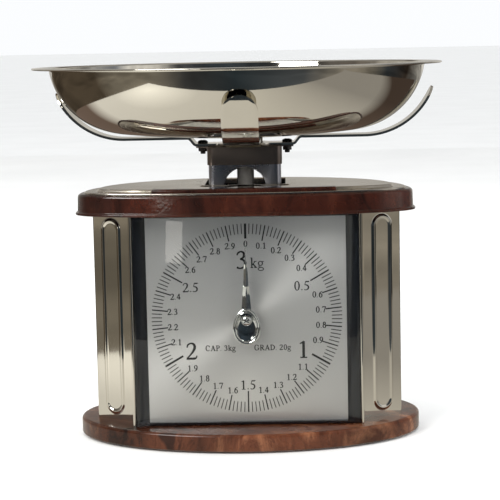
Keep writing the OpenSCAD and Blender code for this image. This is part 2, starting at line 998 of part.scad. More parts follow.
module rack_screws() {
    color("silver")
        translate([5.5, 0, crossbar_bottom + crossbar_h / 2]) {
            bar_y(rack_y0, rack_y0 + rack_w + 5, 0.9);
            translate([0, rack_y0, 0])
                rotate([90, 0, 0])
                    dome_head(1.9, 1.2);
        }
}

// ---------- pointer ----------

pointer_y = -44.6;
pointer_t = 1.6;

// Shaft of the pointer, held in both bushes.
module pointer_shaft() {
    color("silver")
        translate([0, 0, dial_z])
            bar_y(pointer_y - 0.6, cage_back_y + sheet_t + 3, shaft_r);
}

// Clip that keeps the shaft in its rear bush.
module shaft_clip() {
    color("dimgray")
        translate([0, 0, dial_z])
            difference() {
                bar_y(cage_back_y + sheet_t + 1, cage_back_y + sheet_t + 1.8, 2.6);
                bar_y(cage_back_y, 2, shaft_r);
            }
}

// Drop-shaped hub with a tapering needle that ends in a fine point.
module pointer() {
    drop_r = 8;
    drop_z = -6.6;
    neck_z = 7;
    neck = 2.7;
    break_z = 19.6;
    break_w = 1.7;
    needle_end = 32.4;
    needle_w = 0.85;
    wire_r = 0.4;
    drop_side = 18;
    color("gainsboro")
        translate([0, 0, dial_z])
            difference() {
                union() {
                    translate([0, pointer_y + pointer_t, 0])
                        rotate([90, 0, 0])
                            linear_extrude(pointer_t) {
                                translate([0, drop_z])
                                    circle(drop_r);
                                polygon([
                                    [drop_r * cos(drop_side), drop_z + drop_r * sin(drop_side)],
                                    [neck, neck_z], [break_w, break_z], [needle_w, needle_end],
                                    [-needle_w, needle_end], [-break_w, break_z], [-neck, neck_z],
                                    [-drop_r * cos(drop_side), drop_z + drop_r * sin(drop_side)],
                                ]);
                            }
                    translate([0, pointer_y + pointer_t / 2, needle_end - 1])
                        cylinder(h = pointer_len - needle_end + 1, r = wire_r, $fn = 24);
                    bar_y(pointer_y + pointer_t - eps, dial_y - 2.4, 3);
                }
                bar_y(pointer_y - 1, dial_y, shaft_r);
            }
}

// Domed screw with a cross slot in the pointer's hub.
module pointer_screw() {
    color("gainsboro")
        translate([0, pointer_y - 0.7, dial_z])
            rotate([90, 0, 0])
                difference() {
                    dome_head(3.1, 1.6);
                    for (a = [45, 135])
                        rotate([0, 0, a])
                            translate([-2, -0.35, 0.9])
                                cube([4, 0.7, 2]);
                }
}

// ---------- column and arms ----------

// Rounded steel tube round the post, cut away in an arch at the front and the back.
module column_shroud() {
    top = saddle_top - saddle_t - 0.1;
    color("lightsteelblue")
        difference() {
            translate([0, 0, column_bottom])
                linear_extrude(top - column_bottom)
                    difference() {
                        round_rect(column_w, column_d, 3);
                        round_rect(column_w - 2 * column_t, column_d - 2 * column_t, 1.8);
                    }
            translate([0, 0, arch_z])
                bar_y(-column_d, column_d, arch_r);
            translate([-arch_r, -column_d, column_bottom - 1])
                cube([2 * arch_r, 2 * column_d, arch_z - column_bottom + 1]);
        }
}

// Darker cover on the column: a skirt, a top and an ear on each side under the arms.
module column_saddle() {
    skirt = 0.7;
    ear_w = 14;
    color("slategray")
        difference() {
            union() {
                translate([0, 0, saddle_bottom])
                    linear_extrude(saddle_top - saddle_bottom)
                        round_rect(column_w + 2 * skirt, column_d + 2 * skirt, 3 + skirt);
                translate([-flange_half + 0.6, -ear_w / 2, saddle_top - saddle_t])
                    cube([2 * flange_half - 1.2, ear_w, saddle_t]);
            }
            translate([0, 0, saddle_bottom - 1])
                linear_extrude(saddle_top - saddle_t - saddle_bottom + 1)
                    round_rect(column_w, column_d, 3);
            translate([0, 0, saddle_bottom])
                cylinder(h = 20, r = 1.6);
            for (x = [-1, 1])
                translate([x * arm_screw_x, 0, saddle_bottom])
                    cylinder(h = 20, r = 1.6);
        }
}

arm_rise = 28.3;
arm_curve_x = arm_reach - sqrt(pow(arm_curve_r, 2) - pow(arm_curve_r - arm_rise, 2));
arm_tip_z = arm_flat_z + arm_rise;
arm_start = arm_w / 2 + 4;

// Side view of one arm, radius to the right: flange, joggle, flat and upward curve.
module arm_profile() {
    curve_z = arm_flat_z + arm_curve_r;
    joggle_end = flange_half + joggle_run;
    k = arm_t * 0.42;
    polygon([
        [arm_start, saddle_top], [flange_half, saddle_top],
        [joggle_end + k, arm_flat_z], [arm_curve_x, arm_flat_z],
        [arm_curve_x, arm_flat_z + arm_t], [joggle_end - k, arm_flat_z + arm_t],
        [flange_half - 2 * k, saddle_top + arm_t], [arm_start, saddle_top + arm_t],
    ]);
    intersection() {
        translate([arm_curve_x, curve_z])
            difference() {
                circle(arm_curve_r);
                circle(arm_curve_r - arm_t);
            }
        translate([arm_curve_x, arm_flat_z - 1])
            square([60, arm_tip_z - arm_flat_z + 1]);
    }
}

// One arm along +X with a round tip.
module arm() {
    intersection() {
        rotate([90, 0, 0])
            translate([0, 0, -arm_w / 2])
                linear_extrude(arm_w)
                    arm_profile();
        union() {
            translate([-1, -arm_w, saddle_top - 1])
                cube([140, 2 * arm_w, arm_tip_z - arm_w / 2 - saddle_top + 1]);
            translate([0, 0, arm_tip_z - arm_w / 2])
                bar_x(-1, 140, arm_w / 2);
        }
    }
}

// Cross of four arms that cradles the bowl.
module spider() {
    fillet = 7;
    corner = arm_w / 2 + fillet;
    color("gainsboro")
        difference() {
            union() {
                for (i = [0:3])
                    rotate([0, 0, 90 * i])
                        arm();
                translate([0, 0, saddle_top])
                    linear_extrude(arm_t)
                        difference() {
                            square(2 * corner, center = true);
                            for (x = [-1, 1], y = [-1, 1])
                                translate([x * corner, y * corner])
                                    circle(fillet);
                        }
            }
            translate([0, 0, saddle_top - 1])
                cylinder(h = arm_t + 2, r = 1.6);
            for (x = [-1, 1])
                translate([x * arm_screw_x, 0, saddle_top - 1])
                    cylinder(h = arm_t + 2, r = 1.6);
        }
}

module spider_screws() {
    color("dimgray")
        for (x = [-1, 1])
            translate([x * arm_screw_x, 0, saddle_top + arm_t]) {
                dome_head(3, 1.9);
                translate([0, 0, -6.4])
                    cylinder(h = 6.5, r = 1.5);
            }
}

module spider_nuts() {
    color("dimgray")
        for (x = [-1, 1])
            translate([x * arm_screw_x, 0, saddle_top - saddle_t - 2.4])
                difference() {
                    rotate([0, 0, 30])
                        cylinder(h = 2.4, r = 3, $fn = 6);
                    translate([0, 0, -1])
                        cylinder(h = 5, r = 1.5);
                }
}

// Screw that ties arms, saddle and post together.
module post_screw() {
    color("silver")
        translate([0, 0, saddle_top + arm_t]) {
            dome_head(3.4, 2.2);
            translate([0, 0, -11])
                cylinder(h = 11.1, r = 1.5);
        }
}

// ---------- bowl ----------

// Section of the bowl's outer face down to its axis, as a filled half.
module bowl_section(inset) {
    arc_z = rim_z + wall_arc_rise;
    ball_z = bowl_bottom_z + bottom_r;
    lean = atan(wall_arc_x / (ball_z - arc_z));
    meet_x = wall_arc_x + wall_arc_r * sin(lean);
    meet_z = arc_z - wall_arc_r * cos(lean);
    intersection() {
        translate([wall_arc_x, arc_z])
            circle(wall_arc_r - inset);
        translate([meet_x, 0])
            square([60, rim_z + inset]);
    }
    intersection() {
        translate([0, ball_z])
            circle(bottom_r - inset, $fn = 256);
        square([meet_x + eps, rim_z + inset]);
    }
    translate([0, meet_z + 2 * inset + 2])
        square([meet_x + eps, rim_z - meet_z - inset - 2]);
}

// Pressed steel bowl with a flat rim.
module weighing_bowl() {
    color("gainsboro")
        translate([-bowl_shift, 0, 0])
            rotate_extrude()
                difference() {
                    union() {
                        bowl_section(0);
                        translate([0, rim_z - bowl_t])
                            square([bowl_r, bowl_t]);
                    }
                    bowl_section(bowl_t);
                    translate([0, rim_z])
                        square([bowl_r + 1, 30]);
                }
}

base_plinth();
rubber_feet();
base_screws();
overload_stop();
steel_wrap();
cap_moulding();
top_plate();
dial_bezel();
dial_plate();
front_lens();
chassis_frame();
movement_cage();
cage_screws();
shaft_bushes();
link_pivots();
zero_bracket();
bracket_screws();
zero_wheel();
zero_rod();
main_spring();
carrier_frame();
carrier_pins();
toothed_rack();
rack_screws();
column_shroud();
column_saddle();
spider();
spider_screws();
spider_nuts();
post_screw();
upper_link();
lower_link();
pointer_shaft();
pinion();
shaft_clip();
pointer();
pointer_screw();
weighing_bowl();
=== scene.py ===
from math import asin, atan, atan2, copysign, cos, degrees, hypot, pi, radians, sin, sqrt, tan

import bmesh
import bpy
import numpy as np
from mathutils import Matrix, Vector
from mathutils.geometry import delaunay_2d_cdt


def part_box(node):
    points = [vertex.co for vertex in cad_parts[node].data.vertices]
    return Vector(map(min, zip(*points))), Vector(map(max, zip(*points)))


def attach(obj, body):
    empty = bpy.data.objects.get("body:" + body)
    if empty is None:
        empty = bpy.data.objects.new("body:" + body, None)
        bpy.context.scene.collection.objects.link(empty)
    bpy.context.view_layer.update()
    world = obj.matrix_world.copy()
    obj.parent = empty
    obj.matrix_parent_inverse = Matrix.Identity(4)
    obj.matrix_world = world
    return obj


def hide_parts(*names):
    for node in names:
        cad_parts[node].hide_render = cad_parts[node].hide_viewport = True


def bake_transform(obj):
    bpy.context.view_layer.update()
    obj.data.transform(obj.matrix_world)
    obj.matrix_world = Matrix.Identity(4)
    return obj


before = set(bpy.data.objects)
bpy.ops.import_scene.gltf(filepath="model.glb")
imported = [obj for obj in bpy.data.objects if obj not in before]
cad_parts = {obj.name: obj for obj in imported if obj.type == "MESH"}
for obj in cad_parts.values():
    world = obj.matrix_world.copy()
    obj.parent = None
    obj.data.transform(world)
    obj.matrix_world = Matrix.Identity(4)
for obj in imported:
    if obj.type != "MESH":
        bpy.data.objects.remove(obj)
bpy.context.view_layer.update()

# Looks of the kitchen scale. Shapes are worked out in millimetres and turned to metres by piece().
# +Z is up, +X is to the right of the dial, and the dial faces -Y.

MM = 0.001


def low(node):
    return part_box(node)[0] / MM


def high(node):
    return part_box(node)[1] / MM


# ---------- sizes, from the frame ----------

base_half_w, base_half_d, base_top = high("base_plinth")
base_bottom = low("base_plinth").z
case_top = low("cap_moulding").z
dial_z = (low("pinion").z + high("pinion").z) / 2
dial_y = low("dial_plate").y
cap_lip = 1.3
cap_mid_y = -24
cap_half_w = high("cap_moulding").x - cap_lip
cap_front = cap_mid_y - low("cap_moulding").y - cap_lip
cap_back = high("cap_moulding").y - cap_mid_y - cap_lip
cap_top = low("top_plate").z
ledge_top = high("cap_moulding").z
wrap_half_w = 90
wrap_mid_y = -13
wrap_back = high("steel_wrap").y - wrap_mid_y
window_half_w = 66
window_y = low("steel_wrap").y
recess_y = -27
saddle_top = high("column_saddle").z
bowl_x = (low("weighing_bowl").x + high("weighing_bowl").x) / 2
bowl_r = high("weighing_bowl").x - bowl_x
rim_z = high("weighing_bowl").z
bowl_depth = rim_z - low("weighing_bowl").z


# ---------- shapes ----------

def arc(x, y, r, start, end, steps):
    """Points on a circle from one angle to another, in degrees."""
    angles = np.radians(np.linspace(start, end, steps + 1))
    return [(x + r * cos(a), y + r * sin(a)) for a in angles]


def full_turn(count):
    """Angles of equal steps once round, in radians."""
    return [2 * pi * k / count for k in range(count)]


def rounded(corners, steps=5, closed=True):
    """Outline through (x, y, radius) corners, each turned with an arc of its radius."""
    out = []
    count = len(corners)
    for i, (x, y, r) in enumerate(corners):
        if r == 0 or (not closed and i in (0, count - 1)):
            out.append((x, y))
            continue
        p = Vector((x, y))
        back = (Vector(corners[i - 1][:2]) - p).normalized()
        on = (Vector(corners[(i + 1) % count][:2]) - p).normalized()
        half = back.angle(on) / 2
        middle = p + (back + on).normalized() * (r / sin(half))
        first = p + back * (r / tan(half)) - middle
        last = p + on * (r / tan(half)) - middle
        a0 = atan2(first.y, first.x)
        turn = (atan2(last.y, last.x) - a0 + pi) % (2 * pi) - pi
        for k in range(steps + 1):
            a = a0 + turn * k / steps
            out.append((middle.x + r * cos(a), middle.y + r * sin(a)))
    return out


def rounded_line(corners, steps):
    """An open line with arcs at its inner corners."""
    return rounded(corners, steps, closed=False)


def resampled(path, spacing):
    """The same open line in short steps: spacing gives the step's length for the middle of a stretch."""
    out = [path[0]]
    for a, b in zip(path, path[1:]):
        a, b = Vector(a), Vector(b)
        n = max(1, round((b - a).length / spacing((a + b) / 2)))
        out += [tuple(a.lerp(b, (k + 1) / n)) for k in range(n)]
    return out


def skin(rings, torus=False, caps=True, closed=True):
    """Faces over rings, or open rows, of equally many points. Returns the points and the faces."""
    n = len(rings[0])
    points = [p for ring in rings for p in ring]
    pairs = len(rings) if torus else len(rings) - 1
    faces = []
    for i in range(pairs):
        a, b = i * n, (i + 1) % len(rings) * n
        faces += [(a + k, a + (k + 1) % n, b + (k + 1) % n, b + k) for k in range(n if closed else n - 1)]
    if caps and not torus:
        faces.append(tuple(range(n - 1, -1, -1)))
        faces.append(tuple(range(len(points) - n, len(points))))
    return points, faces


def lathe(profile, centre=(0, 0, 0), steps=96, axis="z"):
    """A closed (r, h) profile turned about an axis through the centre. Its open ends lie on the axis."""
    cx, cy, cz = centre
    rings = []
    for r, h in profile:
        ring = [(r * cos(a), r * sin(a)) for a in full_turn(steps)]
        rings.append([(cx + u, cy + v, cz + h) if axis == "z" else (cx + u, cy - h, cz + v) for u, v in ring])
    return skin(rings, caps=False)


def prism(outline, z0, z1):
    return skin([[(x, y, z0) for x, y in outline], [(x, y, z1) for x, y in outline]])


def block(x0, x1, y0, y1, z0, z1):
    return prism([(x0, y0), (x1, y0), (x1, y1), (x0, y1)], z0, z1)


def joined(*parts):
    points, faces = [], []
    for p, f in parts:
        faces += [tuple(i + len(points) for i in face) for face in f]
        points += p
    return points, faces


def mirrored(part):
    points, faces = part
    return [(-x, y, z) for x, y, z in points], [face[::-1] for face in faces]


def clean(mesh, sharp):
    """Merges doubled points, turns the faces outwards and shades all but the sharp edges smooth."""
    bm = bmesh.new()
    bm.from_mesh(mesh)
    bmesh.ops.remove_doubles(bm, verts=bm.verts, dist=1e-7)
    bmesh.ops.dissolve_degenerate(bm, edges=bm.edges, dist=1e-8)
    bmesh.ops.recalc_face_normals(bm, faces=bm.faces)
    bm.to_mesh(mesh)
    bm.free()
    mesh.shade_smooth()
    mesh.set_sharp_from_angle(angle=radians(sharp))


def new_object(name, data):
    obj = bpy.data.objects.new(name, data)
    bpy.context.scene.collection.objects.link(obj)
    return obj


def bare(name, shape, scale=MM):
    """A mesh object with no body and no material."""
    points, faces = shape
    mesh = bpy.data.meshes.new(name)
    mesh.from_pydata([Vector(p) * scale for p in points], [], faces)
    return new_object(name, mesh)


def apply_modifier(obj, kind, **settings):
    """Adds one modifier and turns its result into the object's own mesh."""
    modifier = obj.modifiers.new(kind, kind)
    for key, value in settings.items():
        setattr(modifier, key, value)
    bpy.context.view_layer.update()
    found = obj.evaluated_get(bpy.context.evaluated_depsgraph_get())
    mesh = bpy.data.meshes.new_from_object(found)
    obj.modifiers.clear()
    obj.data = mesh


def bevel(obj, width, steps=2, angle=38):
    apply_modifier(obj, "BEVEL", width=width * MM, segments=steps, limit_method="ANGLE",
        angle_limit=radians(angle), miter_outer="MITER_ARC")


def cut(obj, shape):
    """Cuts a closed shape out of the object."""
    tool = bare("cutter", shape)
    clean(tool.data, 30)
    apply_modifier(obj, "BOOLEAN", object=tool, operation="DIFFERENCE", solver="EXACT")
    bpy.data.objects.remove(tool)


def piece(name, shape, body, material, replaces=(), edge=0, edge_steps=2, sharp=35, cuts=()):
    """One piece of the visual model: a mesh with its material, riding on a CAD body."""
    obj = bare(name, shape)
    clean(obj.data, sharp)
    for shape_cut in cuts:
        cut(obj, shape_cut)
    if edge:
        bevel(obj, edge, edge_steps)
    return dressed(obj, body, material, replaces, sharp)


def dressed(obj, body, material, replaces=(), sharp=35):
    clean(obj.data, sharp)
    obj.data.materials.clear()
    obj.data.materials.append(material)
    if replaces:
        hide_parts(*replaces)
    if body:
        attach(obj, body)
    return obj


def refined(node, name, body, material, edge, edge_steps=2, sharp=30):
    """The CAD node's own shape with its flat faces merged and its edges softened."""
    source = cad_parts[node].data
    points = [tuple(v.co / MM) for v in source.vertices]
    obj = bare(name, (points, [tuple(p.vertices) for p in source.polygons]))
    bm = bmesh.new()
    bm.from_mesh(obj.data)
    bmesh.ops.remove_doubles(bm, verts=bm.verts, dist=1e-6)
    bmesh.ops.dissolve_limit(bm, angle_limit=radians(0.5), verts=bm.verts, edges=bm.edges)
    bm.to_mesh(obj.data)
    bm.free()
    bevel(obj, edge, edge_steps)
    return dressed(obj, body, material, [node], sharp)


# ---------- materials ----------

def times(colour, factor):
    return tuple(c * factor for c in colour)


class Finish:
    """A procedural material: a Principled shader and helpers that add texture nodes to it."""

    def __init__(self, name, **settings):
        self.material = bpy.data.materials.new(name)
        self.material.use_nodes = True
        self.tree = self.material.node_tree
        self.tree.nodes.clear()
        self.output = self.add("OutputMaterial")
        self.shader = self.add("BsdfPrincipled", **settings)
        self.join(self.shader.outputs[0], self.output.inputs[0])
        self.place = self.add("TexCoord").outputs["Object"]

    def join(self, source, target):
        self.tree.links.new(source, target)

    def feed(self, sockets, *values):
        """Links outputs to the sockets, or sets the sockets to plain values."""
        for socket, value in zip(sockets, values):
            if isinstance(value, bpy.types.NodeSocket):
                self.join(value, socket)
            else:
                socket.default_value = value

    def add(self, kind, modes=None, **inputs):
        """Adds a node. Input names are written with _ for a space."""
        node = self.tree.nodes.new("ShaderNode" + kind)
        for key, value in (modes or {}).items():
            setattr(node, key, value)
        for key, value in inputs.items():
            self.feed([node.inputs[key.replace("_", " ")]], value)
        return node

    def placed(self, **settings):
        """Object coordinates, scaled and then moved."""
        return self.add("Mapping", Vector=self.place, **settings).outputs[0]

    def split(self, vector):
        return self.add("SeparateXYZ", Vector=vector).outputs

    def vector(self, x, z):
        return self.add("CombineXYZ", X=x, Y=0.0, Z=z).outputs[0]

    def noise(self, scale, detail=4, rough=0.55, distort=0, place=None):
        node = self.add("TexNoise", Vector=place or self.place, Scale=scale, Detail=detail, Roughness=rough,
            Distortion=distort)
        return node.outputs["Fac"]

    def gradient(self, kind, vector):
        return self.add("TexGradient", {"gradient_type": kind}, Vector=vector).outputs["Fac"]

    def span(self, value, start, stop):
        """0 below the start, 1 above the stop, and even between them."""
        return self.add("MapRange", Value=value, From_Min=start, From_Max=stop).outputs[0]

    def ramp(self, value, *stops):
        """Colour ramp: each stop is a place from 0 to 1 and a grey value or a colour."""
        node = self.add("ValToRGB", Fac=value)
        elements = node.color_ramp.elements
        while len(elements) < len(stops):
            elements.new(0.5)
        for element, (at, colour) in zip(elements, stops):
            element.position = at
            element.color = (*colour, 1) if isinstance(colour, tuple) else (colour, colour, colour, 1)
        return node.outputs["Color"]

    def math(self, operation, *values):
        node = self.add("Math", {"operation": operation})
        self.feed(node.inputs, *values)
        return node.outputs[0]

    def distance(self, a, b):
        """Distance from an axis, from the two parts of a place square to it."""
        return self.math("SQRT", self.math("ADD", self.math("MULTIPLY", a, a), self.math("MULTIPLY", b, b)))

    def mixed(self, mode, amount, a, b):
        node = self.add("Mix", {"data_type": "RGBA", "blend_type": mode})
        self.feed([node.inputs[i] for i in (0, 6, 7)], amount, a, b)
        return node.outputs[2]

    def bump(self, height, depth, strength=1.0, before=None):
        """Bump of a depth in millimetres."""
        node = self.add("Bump", Height=height, Distance=depth * MM, Strength=strength)
        if before:
            self.join(before, node.inputs["Normal"])
        return node.outputs[0]

    def use(self, **links):
        for key, value in links.items():
            self.join(value, self.shader.inputs[key.replace("_", " ")])
        return self.material

    def shaded_by(self, node):
        """Another shader in the place of the Principled one."""
        self.tree.nodes.remove(self.shader)
        self.join(node.outputs[0], self.output.inputs[0])
        return self.material


def polished_metal(name, colour, rough, smudge, ripple):
    """Mirror metal with faint smudges in its gloss, a slow sheet ripple and hair scratches."""
    f = Finish(name, Metallic=1.0)
    cloud = f.noise(38, 5, 0.6)
    tone = f.ramp(cloud, (0.3, times(colour, 0.95)), (0.7, colour))
    hair = f.noise(900, 2, 0.5, place=f.placed(Scale=(0.05, 1, 1)))
    gloss = f.ramp(f.math("ADD", cloud, f.math("MULTIPLY", hair, 0.15)), (0.35, rough), (0.8, rough + smudge))
    wave = f.bump(f.noise(16, 2, 0.4), ripple)
    return f.use(Base_Color=tone, Roughness=gloss, Normal=f.bump(hair, 0.002, 0.5, wave))


def spun_metal(name, colour, rough, centre_x):
    """Mirror metal turned on a lathe: faint rings about an upright axis."""
    f = Finish(name, Metallic=1.0)
    x, y, z = f.split(f.placed(Location=(-centre_x * MM, 0, 0)))
    rings = f.noise(1400, 3, 0.6, place=f.vector(f.distance(x, y), z))
    cloud = f.noise(26, 5, 0.6)
    tone = f.ramp(cloud, (0.3, times(colour, 0.96)), (0.7, colour))
    gloss = f.ramp(f.math("ADD", cloud, f.math("MULTIPLY", rings, 0.3)), (0.4, rough), (0.9, rough + 0.05))
    wave = f.bump(f.noise(14, 2, 0.4), 0.12)
    return f.use(Base_Color=tone, Roughness=gloss, Normal=f.bump(rings, 0.0016, 0.6, wave))


def burl(name, dark, middle, light, grain, pores, peel, coat):
    """Walnut burl print under a clear gloss: swirled grain, dark veins and an orange-peel skin."""
    f = Finish(name, Coat_Weight=coat, Coat_Roughness=0.09, Specular_IOR_Level=0.18)
    flow = f.placed(Scale=(1, 1, 0.45))
    warp = f.add("TexNoise", Vector=flow, Scale=22.0, Detail=3.0).outputs["Color"]
    bent = f.add("VectorMath", {"operation": "MULTIPLY_ADD"})
    f.feed(bent.inputs, warp, (0.05, 0.05, 0.05), flow)
    stripes = f.noise(grain, 8, 0.62, 1.6, place=bent.outputs[0])
    veins = f.noise(grain * 2.4, 6, 0.7, 2.2, place=bent.outputs[0])
    wood = f.ramp(stripes, (0.36, dark), (0.46, middle), (0.54, middle), (0.66, light))
    patch = f.ramp(f.noise(14, 3, 0.5, 0.6), (0.38, 0.42), (0.60, 1.0))
    lines = f.ramp(f.math("ABSOLUTE", f.math("SUBTRACT", veins, 0.5)), (0.0, 0.35), (0.035, 1.0))
    specks = f.ramp(f.noise(pores, 2, 0.5), (0.30, 0.55), (0.42, 1.0))
    for amount, layer in ((1.0, patch), (0.55, lines), (0.5, specks)):
        wood = f.mixed("MULTIPLY", amount, wood, layer)
    gloss = f.ramp(f.noise(60, 3, 0.5), (0.3, 0.22), (0.7, 0.34))
    relief = f.bump(f.noise(620, 2, 0.5), peel)
    return f.use(Base_Color=wood, Roughness=gloss, Normal=relief, Coat_Normal=relief)


def plain_plastic(name, colour, rough, texture):
    """Moulded plastic or rubber: a faint cloud in the colour and a fine moulded skin."""
    f = Finish(name, Specular_IOR_Level=0.5)
    cloud = f.noise(90, 4, 0.6)
    tone = f.ramp(cloud, (0.3, times(colour, 0.7)), (0.75, times(colour, 1.25)))
    gloss = f.ramp(cloud, (0.3, rough), (0.7, rough + 0.09))
    return f.use(Base_Color=tone, Roughness=gloss, Normal=f.bump(f.noise(900, 3, 0.6), texture, 0.5))


def worked_metal(name, colour, rough, stretch, spread, depth, metallic=1.0):
    """Brushed, plated, turned or cast metal: streaks or grains of one size in colour, gloss and height."""
    f = Finish(name, Metallic=metallic)
    streak = f.noise(700, 4, 0.6, place=f.placed(Scale=stretch))
    cloud = f.noise(70, 5, 0.6, 0.4)
    both = f.math("ADD", f.math("MULTIPLY", streak, 0.5), f.math("MULTIPLY", cloud, 0.5))
    tone = f.ramp(both, (0.3, times(colour, 1 - spread)), (0.7, colour))
    gloss = f.ramp(both, (0.3, rough), (0.7, rough + 0.16))
    return f.use(Base_Color=tone, Roughness=gloss, Normal=f.bump(streak, depth, 0.7))


def spun_dial(name):
    """Satin silver sheet brushed in circles about the pointer's axis."""
    f = Finish(name, Metallic=0.8, Anisotropic=0.85, Specular_IOR_Level=0.5)
    x, y, z = f.split(f.placed(Location=(0, 0, -dial_z * MM)))
    around = f.vector(f.math("MULTIPLY", z, -1.0), x)
    rings = f.noise(2600, 4, 0.7, place=f.vector(f.distance(x, z), 0.0))
    tone = f.ramp(rings, (0.3, (0.68, 0.66, 0.645)), (0.7, (0.77, 0.75, 0.735)))
    gloss = f.ramp(rings, (0.3, 0.26), (0.7, 0.36))
    return f.use(Base_Color=tone, Roughness=gloss, Tangent=around, Normal=f.bump(rings, 0.003, 0.4))


def clear_sheet(name):
    """Clear moulded window: see-through, with a gloss that grows to its edges on the outer faces."""
    f = Finish(name)
    wave = f.bump(f.noise(20, 2, 0.4), 0.02)
    gloss = f.add("BsdfGlossy", Color=(1, 1, 1, 1), Roughness=0.02, Normal=wave)
    clear = f.add("BsdfTransparent", Color=(0.965, 0.975, 0.975, 1))
    rim = f.add("Fresnel", IOR=1.45).outputs[0]
    outer_face = f.math("SUBTRACT", 1.0, f.add("NewGeometry").outputs["Backfacing"])
    mix = f.add("MixShader")
    f.feed(mix.inputs, f.math("MULTIPLY", rim, outer_face), clear.outputs[0], gloss.outputs[0])
    return f.shaded_by(mix)


STEEL = (0.78, 0.755, 0.685)
polished_steel = polished_metal("polished_steel", STEEL, 0.035, 0.05, 0.10)
plate_steel = polished_metal("plate_steel", (0.74, 0.70, 0.64), 0.17, 0.08, 0.05)
shroud_steel = polished_metal("shroud_steel", (0.50, 0.51, 0.57), 0.22, 0.10, 0.30)
smoked_steel = polished_metal("smoked_steel", (0.30, 0.255, 0.235), 0.34, 0.12, 0.06)
bowl_steel = spun_metal("bowl_steel", STEEL, 0.03, bowl_x)
pointer_chrome = polished_metal("pointer_chrome", (0.83, 0.84, 0.84), 0.03, 0.03, 0.02)
base_burl = burl("base_burl", (0.028, 0.0085, 0.0045), (0.100, 0.030, 0.013), (0.26, 0.105, 0.050), 30, 900,
    0.006, 0.35)
cap_burl = burl("cap_burl", (0.016, 0.0034, 0.0016), (0.042, 0.0085, 0.0036), (0.075, 0.018, 0.008), 26,
    1100, 0.060, 0.8)
gloss_black = plain_plastic("gloss_black", (0.006, 0.007, 0.009), 0.06, 0.0003)
ink_black = plain_plastic("ink_black", (0.004, 0.004, 0.005), 0.6, 0.001)
soft_rubber = plain_plastic("soft_rubber", (0.022, 0.022, 0.022), 0.62, 0.012)
dial_silver = spun_dial("dial_silver")
clear_window = clear_sheet("clear_window")
zinc_casting = worked_metal("zinc_casting", (0.62, 0.58, 0.53), 0.50, (1, 1, 1), 0.25, 0.03, 0.2)
plated_sheet = worked_metal("plated_sheet", (0.62, 0.60, 0.52), 0.28, (1, 1, 0.06), 0.2, 0.006)
fastener_steel = worked_metal("fastener_steel", (0.45, 0.45, 0.46), 0.22, (1, 1, 1), 0.25, 0.004)
dark_steel = worked_metal("dark_steel", (0.10, 0.098, 0.10), 0.18, (1, 1, 1), 0.3, 0.004)
spring_wire = worked_metal("spring_wire", (0.30, 0.30, 0.31), 0.26, (1, 1, 0.1), 0.25, 0.004)
cut_brass = worked_metal("cut_brass", (0.78, 0.58, 0.26), 0.24, (1, 0.1, 1), 0.2, 0.005)


# ---------- plan curves ----------

def bend(v, power):
    return copysign(abs(v) ** (2 / power), v)


def cap_plan(inset, count=256):
    """The cap's plan, moved inwards all round by a distance."""
    points = []
    for a in full_turn(count):
        power, depth = (2.5, cap_front) if sin(a) < 0 else (2, cap_back)
        points.append(((cap_half_w - inset) * bend(cos(a), power),
            cap_mid_y + (depth - inset) * bend(sin(a), power)))
    return points


def base_plan(inset):
    return [((base_half_w - inset) * cos(a), (base_half_d - inset) * sin(a)) for a in full_turn(256)]


def hole_plan(half_w, half_d, outer, centre=(0, 0)):
    """A round-cornered hole with one point for each point of the outline around it."""
    points = []
    for x, y in outer:
        reach = ((abs(x - centre[0]) / half_w) ** 14 + (abs(y - centre[1]) / half_d) ** 14) ** (-1 / 14)
        points.append((centre[0] + (x - centre[0]) * reach, centre[1] + (y - centre[1]) * reach))
    return points


def raised(outline, z):
    return [(x, y, z) for x, y in outline]


# ---------- base ----------

def build_base():
    wall, rib, rib_gap, rib_low = 3, 1, 2.5, 1
    corners = rounded_line([(wall, base_bottom, 0.4), (0, base_bottom, 0.9), (0, base_top, 1.9),
        (30, base_top, 0)], 8)
    rings = [raised(base_plan(wall), base_top - wall)]
    rings += [raised(base_plan(inset), z) for inset, z in [(wall, base_bottom)] + corners[1:]]
    rib_x, rib_y = base_half_w - rib_gap, base_half_d - rib_gap
    rib_z = base_bottom + rib_low, base_top - wall + 0.2
    ribs = [block(-rib_x, rib_x, -rib, rib, *rib_z), block(-rib, rib, -rib_y, rib_y, *rib_z)]
    piece("base_shell", joined(skin(rings), *ribs), "case", base_burl, ["base_plinth"])

    pad_r = 6.95
    foot_x, foot_y = high("rubber_feet").x - pad_r, high("rubber_feet").y - pad_r
    feet = [(x, y, 0) for x in (-foot_x, foot_x) for y in (-foot_y, foot_y)]
    pad = rounded_line([(0, 0.35, 0), (pad_r - 2.2, 0.35, 0.2), (pad_r - 1.8, 0, 0.2), (pad_r, 0, 0.8),
        (pad_r, 2.95, 0.3), (0, 2.95, 0)], 4)
    pads = [lathe(pad, foot, 48) for foot in feet]
    piece("foot_pads", joined(*pads), "case", soft_rubber, ["rubber_feet"])
    inner_r, outer_r, socket_top = 7.1, 8.8, 8.2
    boss = rounded([(inner_r, base_bottom + 0.4, 0), (outer_r, base_bottom + 0.4, 0.4),
        (outer_r, socket_top, 0), (inner_r, socket_top, 0)], 3)
    bosses = [lathe(boss + boss[:1], foot, 48) for foot in feet]
    piece("foot_sockets", joined(*bosses), "case", base_burl)


# ---------- steel wrap ----------

